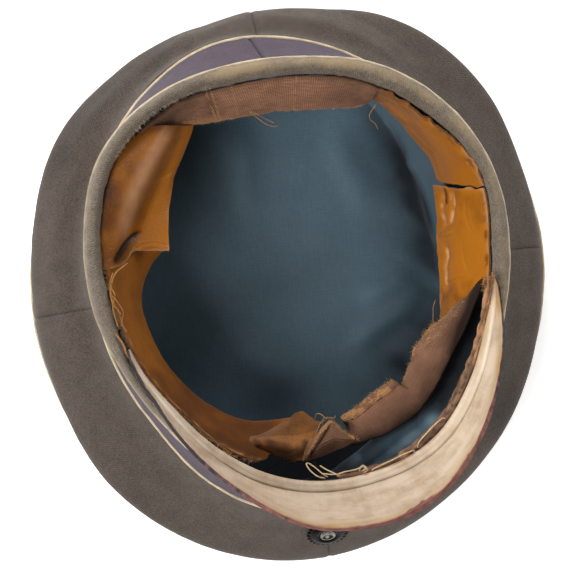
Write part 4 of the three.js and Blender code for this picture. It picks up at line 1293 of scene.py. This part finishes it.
        # Painted shade darkens the crack and the curl's crest is painted lighter; pale painted highlights lie along the
        # curl.
        stain = 0.12 + 0.1 * noise(grid, 8, 75, 3) + 0.7 * np.clip(-split - 0.2, 0, 1) + 0.15 * fall(angle, -9, 6)
        stain = stain - 0.25 * np.clip(curl, 0, 1) + 0.3 * hump(v, 0.04, 0.03) * patches(grid, 3.5, 98, 3, 1.6, 0.1)
        raw = 0.9 * hump(v, 0, 0.04) * patches(grid, 5, 57, 2, 1, 0.8) + 0.4 * hump(v, 1, 0.015)
        raw = raw + 0.7 * hump(angle, 25.9 - 9.1 * (1 - v), 0.5)
        raw = raw + 0.6 * rise(curl, 0.7, 0.8) * patches(grid, 5, 56, 2, 1, 0.6)
        bloom = 0.75 * rise(curl, 0.6, 0.4) * patches(grid, (3, 6, 6), 96, 2, 2.0, 0.35)
        sheet("sweatband_right_lower_leather", grid, thickness, glossy, node="sweatband_right_lower", **hung,
              stain=stain, raw=np.clip(raw, 0, 1), gloss=1.0, bloom=bloom)
        edges += [(grid[::2, 0], [0.7, -0.1, 0.7], 70, 0.9), (grid[0], [-0.2, -0.9, 0.3], 50, 1.2)]

        # The narrow remnant still sewn along the visor's root: brown, crumpled lengthwise, pricked with stitch holes.
        rows = STRIPS["sweatband_remnant"]["rows"]
        grid, angle, v = strip_grid("sweatband_remnant", 0.5, torn(77, 0.5))
        right = rise(angle, 318, 14)
        pleats = np.sin(v * 11 + 2.2 * noise_along(angle * 1.4, 7, 78, 2))
        crumple = 0.4 * noise(grid, 4, 79, 3) + 0.55 * right * pleats + 0.5 * right * noise(grid, (3, 9, 5), 85, 2)
        pricked, holes = np.arange(277, 349, 4.3), 0 * angle
        for spot in turned(pricked, drawn(strip_line(rows, pricked), [0.3]))[:, 0]:
            holes = np.maximum(holes, hump(np.linalg.norm(grid - spot, axis=-1), 0, 0.75, 4))
        grid = pushed(grid, crumple - 0.7 * holes)
        # Painted shade darkens the pleats' hollows and the stitch holes.
        dark = 0.4 - 0.3 * right * pleats + 0.45 * noise(grid, 3.2, 80, 3) + holes + 0.3 * (1 - right)
        worn = suede_leather("worn leather remnant", linear("#a67a56"))
        sheet("sweatband_remnant_leather", grid, thickness * 0.8, [worn], "tan_leather", "sweatband_remnant",
              held="laid", rests_on=["visor"], dark=np.clip(dark, 0, 1))
        end = np.array([349.0])
        torn_end = turned(end, drawn(strip_line(rows, end), np.linspace(0, 0.5, 12)))[0]
        edges += [(grid[-60:, 0], [-0.2, 0.5, 0.8], 150, 2.0), (grid[-14:, -1], [-0.8, 0.5, 0.5], 60, 2.2),
                  (torn_end, [0.1, 1.0, 0.4], 130, 3.0)]

        # A flap of the same leather folded back, flesh side up, beside the linen.
        grid = spanned(FLAP_FOLDS)
        v = shares(grid)[1]
        grooves = creases(
            grid, ([(-33.5, -74), (-26, -74.5), (-17, -76.5), (-10.5, -80)], 1.2, -0.6),
            ([(-30, -72), (-27.5, -75.5)], 1.0, -0.7), ([(-12, -83.5), (-8.5, -79), (-6.2, -74.6)], 1.2, -0.9),
            ([(-26, -72.6), (-19, -78), (-11, -82.6)], 1.5, -0.5),
        )
        grid = pushed(grid, 0.3 * noise(grid, 6, 83, 3) - grooves)
        # Painted shade darkens the grooves.
        dark = 0.5 * (v > 0.55) + 0.9 * np.clip(-grooves, 0, 1) + 0.25 * noise(grid, 8, 84, 2)
        sheet("suede_flap_leather", grid, thickness, [back], "suede", "suede_flap", held="laid",
              rests_on=["sweatband_left_lower"], dark=np.clip(dark, 0, 1))
        edges += [(grid[:, -1], [0.1, 0.9, 0.3], 40, 0.7), (grid[:, 0], [-0.2, -0.9, 0.2], 60, 0.8)]
        edges += [(root, [-0.5, -0.6, 0.6], 260, 2.4)]

        # Torn slivers and frayed threads along the left of the visor's root.
        def beside(low, high, offset, lift):
            a = np.linspace(low, high, 11)
            line = drawn(visor_line(a), np.linspace(0, 1, 80))
            at = np.argmin(np.abs(run_over(line) - VISOR_FLANGE - offset), 1)
            return turned(a, line[np.arange(len(a)), at][:, None])[:, 0] + [0, 0, lift]

        slivers = [
            beside(198, 240, -0.5, 0.3), beside(205, 262, -1.0, 0.2), beside(212, 236, 0.2, 0.4),
            [(-86.5, -15.0, 93), (-83.7, -20.5, 93.5), (-82.5, -25.0, 94), (-80.0, -32.6, 95), (-76.7, -40.0, 96),
             (-73.0, -47.6, 97), (-70.0, -52.7, 98)],
            [(-76.5, 16.5, 87), (-81.5, 13.6, 88), (-84.5, 10.0, 88), (-86.4, 5.5, 89), (-86.0, -0.5, 90),
             (-85.5, -6.0, 90), (-84.4, -12.0, 91)],
            [(-84.0, 13.0, 88), (-85.8, 8.0, 89), (-84.4, 3.0, 90), (-85.6, -2.0, 90), (-83.0, -7.0, 91)],
            [(-86.5, 3.0, 90), (-84.0, -1.0, 92), (-82.0, -6.0, 92), (-83.0, -11.0, 92), (-81.0, -15.0, 92)],
            [(-65.4, -56.8, 97), (-59.4, -63.4, 97.4), (-53.4, -69.0, 98), (-46.6, -74.4, 98.4), (-39.7, -79.0, 99)],
            [(-61.4, -60.4, 96), (-56.4, -65.4, 98), (-51.5, -68.4, 98.6), (-46.5, -72.0, 98.4), (-43.6, -76.0, 98)],
        ]
        tubes("torn_leather_slivers", [waved(path, 44, 0.45, 130 + k) for k, path in enumerate(slivers)],
              [0.45, 0.38, 0.22, 0.5, 0.42, 0.28, 0.22, 0.26, 0.18],
              thread_fibre("torn leather edge", linear("#a3743f")), "suede", sides=5)
        fringe = [hair for k, edge in enumerate(edges) for hair in fibres(*edge, 90 + k)]
        tubes("torn_leather_fibres", fringe, 0.07, thread_fibre("leather fibres", linear("#b98a58")), "suede", sides=3)
        return {"FINISHED"}


# The front linen: its edge near the visor, a line along its middle, and its loose edge with the notch beside the cuff.
LINEN_OUTER = [
    (14.4, -81.2, 77), (18.2, -80.8, 78), (23.0, -79.6, 79), (27.7, -78.9, 80), (32.6, -77.2, 80), (37.6, -75.2, 80),
    (42.7, -72.6, 80), (47.8, -69.6, 80), (53.3, -64.3, 80), (59.0, -57.2, 81), (64.8, -48.7, 82), (70.8, -39.3, 83),
    (76.7, -30.3, 84), (82.9, -19.9, 84), (87.2, -9.7, 84),
]
LINEN_MIDDLE = [
    (15.2, -78.4, 73), (21.0, -74.6, 75), (28.5, -71.5, 75), (35.0, -68.2, 75), (41.5, -64.8, 74), (47.5, -60.5, 74),
    (52.0, -55.6, 74), (56.6, -49.5, 75), (61.2, -43.0, 76), (66.0, -36.8, 77), (72.0, -29.8, 78), (79.0, -20.6, 79),
    (86.6, -9.0, 80),
]
LINEN_INNER = [
    (15.2, -76.5, 66), (14.6, -73.5, 65), (13.2, -70.6, 64), (12.1, -68.3, 64), (17.8, -65.3, 64), (24.1, -61.5, 64),
    (29.3, -58.5, 64), (35.4, -55.5, 64), (38.5, -54.1, 64), (40.6, -55.8, 64), (39.6, -59.9, 64), (40.2, -61.5, 64),
    (42.8, -57.1, 64), (45.4, -52.7, 64), (46.8, -49.6, 64), (49.1, -47.0, 64), (50.8, -41.6, 64), (55.3, -37.5, 64),
    (59.8, -32.4, 64), (64.9, -30.3, 64), (70.2, -26.3, 66), (75.4, -21.4, 68), (80.9, -15.2, 71), (85.3, -9.7, 74),
    (86.6, -8.0, 76),
]
# The cuff turned up along the loose edge, as lines from its foot to its fold and back.
CUFF = [
    [(14.2, -70.6, 67), (19.7, -70.6, 67.6), (24.9, -67.6, 67.6), (31.2, -63.7, 67.6), (36.2, -61.0, 67.6),
     (39.6, -59.0, 67.2)],
    [(12.6, -69.4, 67.4), (18.6, -68.4, 68.6), (24.4, -64.9, 68.6), (30.1, -61.4, 68.6), (35.7, -58.6, 68.6),
     (39.6, -56.6, 68)],
    [(11.9, -68.0, 65.6), (17.6, -65.5, 66.6), (23.8, -61.7, 66.6), (29.0, -58.7, 66.6), (35.2, -55.8, 66.6),
     (38.9, -54.4, 66)],
]
# The linen's corner folded over into a triangle beside the flap.
TRIANGLE = [
    [(-9.4, -85.3, 74), (-4.8, -85.0, 75), (0.0, -84.3, 76), (5.8, -82.8, 77), (11.2, -81.4, 78), (15.9, -79.4, 78.5)],
    [(-8.6, -83.6, 75), (-4.0, -80.6, 78), (1.2, -77.6, 80), (6.2, -75.8, 80.5), (10.8, -77.4, 80), (15.8, -78.4, 79)],
    [(-7.2, -81.6, 74), (-4.6, -78.3, 74.5), (-1.2, -74.7, 74.5), (2.2, -71.1, 74), (5.9, -68.4, 73),
     (8.9, -71.1, 74), (10.9, -73.7, 75), (12.9, -75.9, 76), (15.7, -77.5, 78)],
]
# Threads pulled out of the linen.
LONG_THREADS = [
    [(-9.9, 79.4, 66), (-7.0, 76.6, 66), (-3.6, 73.8, 65), (0.0, 72.3, 64), (2.4, 72.4, 64)],
    [(-10.5, 80.4, 66), (-6.5, 78.0, 66), (-1.6, 75.2, 64), (1.5, 73.5, 63)],
    [(49.9, 75.3, 62), (47.2, 72.8, 61), (46.3, 69.7, 60), (48.3, 67.5, 59), (49.3, 64.5, 58)],
    [(50.5, 76.3, 62), (48.5, 74.5, 61), (46.9, 72.0, 60)],
    [(61.8, -33.3, 62), (61.5, -29, 66), (62.0, -24, 70), (63.0, -20, 73)],
    [(66.9, -26.5, 62), (66.6, -22, 66), (67.0, -17.5, 69)],
    [(-9.2, -85.3, 76), (-7.0, -80.4, 77), (-4.1, -76.7, 77), (-1.9, -74.6, 77), (0.0, -71.6, 76), (2.0, -68.7, 75),
     (5.0, -67.7, 74)],
    [(0.1, -67.5, 70), (0.3, -65.6, 72), (1.6, -64.9, 73), (3.4, -65.6, 74), (4.5, -67.1, 75), (6.5, -67.4, 74)],
    [(-9.0, -84.9, 76), (-8.0, -81.3, 76), (-5.1, -77.4, 77), (-3.4, -75.4, 76)],
    [(2.2, -70.8, 75), (2.6, -67.6, 77), (5.0, -66.6, 77), (8.2, -67.6, 75), (9.0, -66.6, 72)],
    [(-28.0, -88.1, 62), (-23.1, -86.4, 64), (-17.5, -85.2, 68), (-12.1, -84.9, 74)],
]


class VISORCAP_OT_linen(bpy.types.Operator):
    """Add the brown linen strips that lay behind the sweatband, their folds and their loose threads"""

    bl_idname = "visor_cap.linen"
    bl_label = "Linen"
    bl_options = {"REGISTER", "UNDO"}

    def execute(self, context):
        sizes, colours = context.scene.visor_cap_sizes, context.scene.visor_cap_colours
        cloth = ribbed_linen("brown linen, stiffened", colours.brown_linen, 0.06)
        # The back linen is the same cloth painted 1.4 times lighter, a painted light, with a more open weave.
        open_weave = ribbed_linen("brown linen, open weave", shaded(colours.brown_linen, 1.4), 0.3)
        thickness = sizes.linen / MM

        def shaggy(edge, count, length, seed):
            return fibres(edge, -outwards(edge), count, length, seed, spread=0.75)

        # At the back: a wide strip, darkened with painted shade at both ends and along the rim, a few threads pulled in
        # it.
        grid, a, v = strip_grid("linen_back", 0.7, lambda a: 0.22 * noise_along(a * 1.4, 2.4, 101, 3))
        dent = crease(grid, [(-52, 86), (-40, 86), (-30, 84)], 3, 0.8)
        grid = pushed(grid, 0.5 * noise(grid, (16, 16, 12), 102, 3) - dent)
        soil = 0.85 * rise(a, 104, 16) + 0.5 * fall(a, 75, 12) + 0.35 * hump(a, 108, 1.1)
        soil = soil * (0.8 + 0.3 * noise(grid, 9, 107, 3)) + 0.35 * fall(v, 0.1, 0.1)
        pulled = sum(hump(a, spot, 0.28) * (noise(grid, 4, 108 + k, 2) > -0.35)
                     for k, spot in enumerate((107.0, 108.3, 101.0, 82.0)))
        fray = rise(v, 0.9, 0.1) * (0.6 + 0.6 * noise(grid, 7, 109)) + 0.8 * pulled
        fray = fray + 0.8 * rise(a, 103, 3) * hump(v, 1, 0.05)
        fray = fray + 0.55 * rise(a, 103, 5) * fall(a, 125, 8) * rise(v, 0.55, 0.3)
        sheet("linen_back_cloth", grid, thickness, [open_weave], "brown_linen", "linen_back", held="hung",
              rests_on=["rim_binding"], soil=np.clip(soil, 0, 1), fray=fray)
        fringe = shaggy(grid[:, -1], 240, 1.0, 103)

        # In front: darkened with painted shade beside the visor and towards its right end, frayed along its loose edge
        # and towards its right end.
        grid = spanned([LINEN_OUTER, LINEN_MIDDLE, LINEN_INNER], 0.7)
        u, v = shares(grid)
        dent = crease(grid, [(40, -62), (44, -66), (50, -68)], 4, 1.0)
        grid = pushed(grid, 0.55 * noise(grid, (20, 20, 16), 105, 3) - dent)
        edge = rise(v, 0.91, 0.09)
        grid[..., :2] += (0.35 * edge * noise(grid, 2.0, 104, 2))[..., None] * grid[..., :2] / 80
        soil = 0.95 * fall(v, 0.78, 0.78) + 0.6 * rise(u, 0.58, 0.25) * np.clip(1.3 - v / 0.75, 0.2, 1)
        soil = soil + 0.12 * noise(grid, 10, 112, 3)
        fuzzy = rise(u, 0.52, 0.08) * fall(u, 0.86, 0.1) * rise(v, 0.5, 0.4)
        fray = edge * (0.35 + 0.55 * noise(grid, 6, 113, 2)) + fuzzy * (0.45 + 0.5 * noise(grid, 3, 99, 2))
        sheet("linen_front_cloth", grid, thickness, [cloth], "brown_linen", "linen_front", held="hung",
              rests_on=["visor"], soil=np.clip(soil, 0, 1), fray=fray)
        fringe += shaggy(grid[:, -1], 420, 1.5, 106)
        torn = slice(int(0.58 * len(grid)), int(0.84 * len(grid)))
        for k, share in enumerate(np.linspace(0.58, 1.0, 9)):
            row = grid[torn, int(share * (grid.shape[1] - 1))] + [0, 0, 0.25]
            fringe += shaggy(row, int(25 + 120 * (share - 0.5)), 1.8, 130 + k)

        # Its edge is turned up in a cuff.
        grid = spanned(CUFF)
        v = shares(grid)[1]
        grid = pushed(grid, -0.3 * noise(grid, 5, 114, 2))
        # Painted shade darkens a band near the cuff's foot.
        sheet("linen_cuff_cloth", grid, thickness * 0.8, [cloth], "brown_linen", held="folded",
              rests_on=["linen_front_cloth"], soil=0.1 + 0.5 * hump(v, 0.22, 0.07),
              fray=0.55 + 0.5 * noise(grid, 3.5, 115, 2) - 0.5 * hump(v, 0.12, 0.08))
        fringe += shaggy(grid[:, -1], 150, 1.0, 116) + fibres(grid[-1], [0.9, 0.3, 0], 40, 1.2, 117)

        # Its corner is folded over into a triangle.
        grid = spanned(TRIANGLE)
        groove = crease(grid, [(-6.4, -84.6), (0.2, -76.6), (5.9, -70.1)], 0.9, 1.0, 0.1)
        grid = pushed(grid, 0.25 * noise(grid, 6, 118, 2) - 0.8 * groove)
        left = near_line(grid, [(-9.4, -85.3), (-1.2, -74.8), (5.5, -68.7)])[0]
        right = near_line(grid, [(6.5, -68.4), (10.9, -73.7), (15.5, -77.7)])[0]
        # Painted shade darkens its groove.
        sheet("linen_fold_cloth", grid, thickness * 0.8, [cloth], "brown_linen", held="folded",
              rests_on=["linen_front_cloth"], soil=np.clip(0.25 + 0.8 * groove, 0, 1),
              fray=0.8 * hump(left, 0, 1.6) + 0.9 * hump(right, 0, 1.1))
        corner = evenly([(6.5, -68.4, 75), (10.9, -73.7, 76), (15.5, -77.7, 78), (17.5, -79.6, 79)], 60)
        fringe += fibres(corner, [0.6, 0.5, 0.6], 190, 1.3, 119)

        pale = thread_fibre("loose flax threads", linear("#b8905f"))
        tubes("linen_fringe", fringe, 0.075, pale, "brown_linen", sides=3)
        threads = [waved(path, 22, 0.5, 110 + k) for k, path in enumerate(LONG_THREADS)]
        tubes("linen_long_threads", threads, 0.17, pale, "brown_linen", sides=5)
        return {"FINISHED"}


# The height in mm at which the visor's stitches lie, and their paths, with heights above or below it.
STITCH_HEIGHT = 102.5
STITCHES = [
    [(20.0, -94.0, -2), (20.6, -92.5, 0), (26.4, -90.6, 0.4), (33.1, -88.6, 0.3), (39.7, -87.0, 0), (40.4, -88.2, -2)],
    [(42.0, -86.2, -2), (42.4, -84.0, 0), (46.2, -80.6, 0.3), (50.4, -77.1, 0.2), (54.9, -74.3, -0.5),
     (56.5, -74.8, -2)],
    [(4.0, -93.8, -2), (4.6, -92.6, 0), (7.8, -92.0, 0.4), (12.4, -91.7, 0.4), (15.7, -90.9, 1), (17.7, -92.6, 0.5),
     (16.0, -93.6, -0.5)],
    [(14.0, -92.4, 0), (15.5, -90.2, 1.4), (17.2, -91.4, 1.6), (15.4, -92.6, 1)],
    [(-1.5, -93.4, -1), (-4.7, -92.4, 0), (-7.9, -89.2, -0.6), (-9.3, -86.2, -1), (-7.9, -85.9, -1.3),
     (-5.5, -88.1, -1), (-2.7, -91.3, -0.4), (-0.4, -92.9, 0)],
    [(-3.1, -87.6, -1), (-1.0, -89.2, -0.6), (2.3, -91.5, 0), (5.3, -93.4, -0.6)],
    [(-2.6, -91.4, 0), (0.9, -92.2, 0.6), (4.5, -92.6, 0)],
]


class VISORCAP_OT_stitches(bpy.types.Operator):
    """Add the long stitches and broken loops of thread along the visor's root"""

    bl_idname = "visor_cap.stitches"
    bl_label = "Stitches"
    bl_options = {"REGISTER", "UNDO"}

    def execute(self, context):
        radius = context.scene.visor_cap_sizes.thread / MM
        paths = [waved(np.array(path) + [0, 0, STITCH_HEIGHT], 30, 0.25, 120 + k) for k, path in enumerate(STITCHES)]
        tubes("visor_stitches", paths, radius, thread_fibre("waxed linen thread", linear("#d8bf98")), "cream_cord")
        return {"FINISHED"}


# Where the cockade sits on the crown's side, the teeth round its ring, and its profiles: radius and height in mm.
COCKADE_ANGLE = np.array([269.8])
COCKADE_TEETH = 24
RING_PROFILE = [(4.2, 0), (10.0, 0), (10.0, 0.6), (9.3, 0.9), (7.9, 1.0), (7.6, 1.3), (6.4, 1.55), (6.2, 1.9),
                (5.4, 2.05), (4.5, 1.85), (4.2, 1.6), (4.2, 0)]
BOSS_PROFILE = [(0.001, 0.2), (3.85, 0.2), (3.95, 1.5), (3.7, 2.0), (3.2, 2.1), (2.8, 1.8), (2.1, 1.3), (1.0, 1.0),
                (0.001, 0.95)]


class VISORCAP_OT_cockade(bpy.types.Operator):
    """Add the cockade on the front of the crown: a toothed ring round a silver dish"""

    bl_idname = "visor_cap.cockade"
    bl_label = "Cockade"
    bl_options = {"REGISTER", "UNDO"}

    def execute(self, context):
        colours = context.scene.visor_cap_colours
        side = drawn(side_line(COCKADE_ANGLE), np.linspace(0, 1, 101), 1.75, 1.7)[0]
        seat, along = side[37], side[38] - side[36]
        along /= np.linalg.norm(along)
        facing = Vector(turned(COCKADE_ANGLE, np.array([[-along[1], along[0]]]))[0])
        # It stands off the middle of the cloth by half its thickness and a little air.
        place = Vector(turned(COCKADE_ANGLE, seat[None])[0]) + facing * (0.9 + 0.85)
        onto = Matrix.Translation(place * MM) @ Vector((0, 0, 1)).rotation_difference(facing).to_matrix().to_4x4()
        for name, profile, turns, look, slot in [
            ("cockade_ring", RING_PROFILE, 192, stamped_metal("blackened stamped metal", colours.black_metal, 0.45),
             "black_metal"),
            ("cockade_boss", BOSS_PROFILE, 64, stamped_metal("silvered stamped metal", colours.silver, 0.22), "silver"),
        ]:
            (radius, height), *_ = profile
            bpy.ops.object.select_all(action="DESELECT")
            bpy.ops.mesh.primitive_circle_add(vertices=turns, radius=radius * MM, location=(0, 0, height * MM))
            piece = context.object
            piece.name = name + "_metal"
            bpy.ops.object.mode_set(mode="EDIT")
            for (r0, h0), (r1, h1) in zip(profile, profile[1:]):
                bpy.ops.mesh.extrude_edges_move(TRANSFORM_OT_translate={"value": (0, 0, (h1 - h0) * MM)})
                bpy.ops.transform.resize(value=(r1 / r0, r1 / r0, 1))
            in_edit_mode(partial(bpy.ops.mesh.remove_doubles, threshold=5e-6),
                         partial(bpy.ops.mesh.normals_make_consistent, inside=False))
            for vertex in piece.data.vertices:
                x, y, z = vertex.co / MM
                radius, turn = math.hypot(x, y), math.atan2(y, x)
                if radius > 8.4:
                    tooth = 0.5 + 0.5 * math.cos(turn * COCKADE_TEETH)
                    radius -= 0.95 * (1 - tooth) ** 1.5
                    z += 0.1 * tooth if z > 0.5 else 0
                    vertex.co = Vector((radius * math.cos(turn), radius * math.sin(turn), z)) * MM
            piece.data.transform(Matrix.Translation(-piece.location) @ piece.matrix_world)
            piece.matrix_world = Matrix.Identity(4)
            piece.data.transform(onto)
            piece.data.materials.append(look)
            alone(piece)
            bpy.ops.object.shade_smooth_by_angle(angle=math.radians(35))
            settled(piece, slot, name)
        return {"FINISHED"}


# Square softboxes: name, bearing and height in degrees, width in m and power in W.
SOFTBOXES = [
    ("key softbox", 204, 46, 1.0, 21.0), ("rear softbox", 98, 25, 0.8, 20.0),
    ("right reflector", 16, 24, 0.8, 9.0), ("front reflector", 280, 24, 0.8, 3.8),
]


class VISORCAP_OT_stage(bpy.types.Operator):
    """Add the floor, the lights and the camera"""

    bl_idname = "visor_cap.stage"
    bl_label = "Floor, lights and camera"
    bl_options = {"REGISTER", "UNDO"}

    def execute(self, context):
        scene = context.scene
        bpy.ops.object.select_all(action="DESELECT")
        bpy.ops.mesh.primitive_plane_add(size=6)
        floor = context.object
        floor.name = "floor"
        floor.data.materials.append(lit_table("white acrylic table"))
        world = scene.world = scene.world or bpy.data.worlds.new("studio")
        world.use_nodes = True
        fill(world.node_tree.nodes["Background"], Color=linear("#fbfaf8"), Strength=0.06)
        for name, azimuth, elevation, size, energy in SOFTBOXES:
            turn, lift = math.radians(azimuth), math.radians(elevation)
            way = Vector((math.cos(turn) * math.cos(lift), math.sin(turn) * math.cos(lift), math.sin(lift)))
            bpy.ops.object.light_add(type="AREA", location=way * 1.5 + Vector((0, 0, 0.05)))
            light = context.object
            light.name = name
            light.data.shape, light.data.size, light.data.energy = "SQUARE", size, energy
            light.rotation_euler = (-way).to_track_quat("-Z", "Y").to_euler()
            light.visible_camera = False
        camera = bpy.data.objects.new("camera", bpy.data.cameras.new("camera"))
        scene.collection.objects.link(camera)
        right, up, back = (0.98844, -0.14244, 0.05203), (0.13994, 0.98896, 0.04881), (-0.05841, -0.04096, 0.99745)
        view = Matrix((right, up, back)).transposed().to_4x4()
        view.translation = Vector((-0.071414, -0.049316, 1.198))
        camera.matrix_world = view
        camera.data.sensor_width, camera.data.lens = 36, 152.745
        camera.data.clip_start, camera.data.clip_end = 0.01, 20
        scene.camera = camera
        scene.view_settings.view_transform = "Standard"
        return {"FINISHED"}


class VISORCAP_PT_panel(bpy.types.Panel):
    """Lists the cap's settings and pieces"""

    bl_idname = "VISORCAP_PT_panel"
    bl_label = "Visor Cap"
    bl_space_type = "VIEW_3D"
    bl_region_type = "UI"
    bl_category = "Visor Cap"

    def draw(self, context):
        for title, group in (("Sizes", context.scene.visor_cap_sizes), ("Colours", context.scene.visor_cap_colours)):
            box = self.layout.box()
            box.label(text=title)
            for name in group.__annotations__:
                box.prop(group, name)
        for piece in PIECES:
            self.layout.operator(piece.bl_idname)


PIECES = (
    VISORCAP_OT_stage, VISORCAP_OT_crown, VISORCAP_OT_pipings, VISORCAP_OT_band, VISORCAP_OT_binding,
    VISORCAP_OT_lining, VISORCAP_OT_visor, VISORCAP_OT_sweatband, VISORCAP_OT_linen, VISORCAP_OT_stitches,
    VISORCAP_OT_cockade,
)
CLASSES = (VISORCAP_Sizes, VISORCAP_Colours, *PIECES, VISORCAP_PT_panel)


def register():
    for cls in CLASSES:
        bpy.utils.register_class(cls)
    bpy.types.Scene.visor_cap_sizes = PointerProperty(type=VISORCAP_Sizes)
    bpy.types.Scene.visor_cap_colours = PointerProperty(type=VISORCAP_Colours)


def unregister():
    del bpy.types.Scene.visor_cap_sizes
    del bpy.types.Scene.visor_cap_colours
    for cls in reversed(CLASSES):
        bpy.utils.unregister_class(cls)


def main():
    register()
    bpy.ops.visor_cap.stage()
    bpy.ops.visor_cap.crown()
    bpy.ops.visor_cap.pipings()
    bpy.ops.visor_cap.band()
    bpy.ops.visor_cap.binding()
    bpy.ops.visor_cap.lining()
    bpy.ops.visor_cap.visor()
    bpy.ops.visor_cap.sweatband()
    bpy.ops.visor_cap.linen()
    bpy.ops.visor_cap.stitches()
    bpy.ops.visor_cap.cockade()


if __name__ == "__main__":
    main()
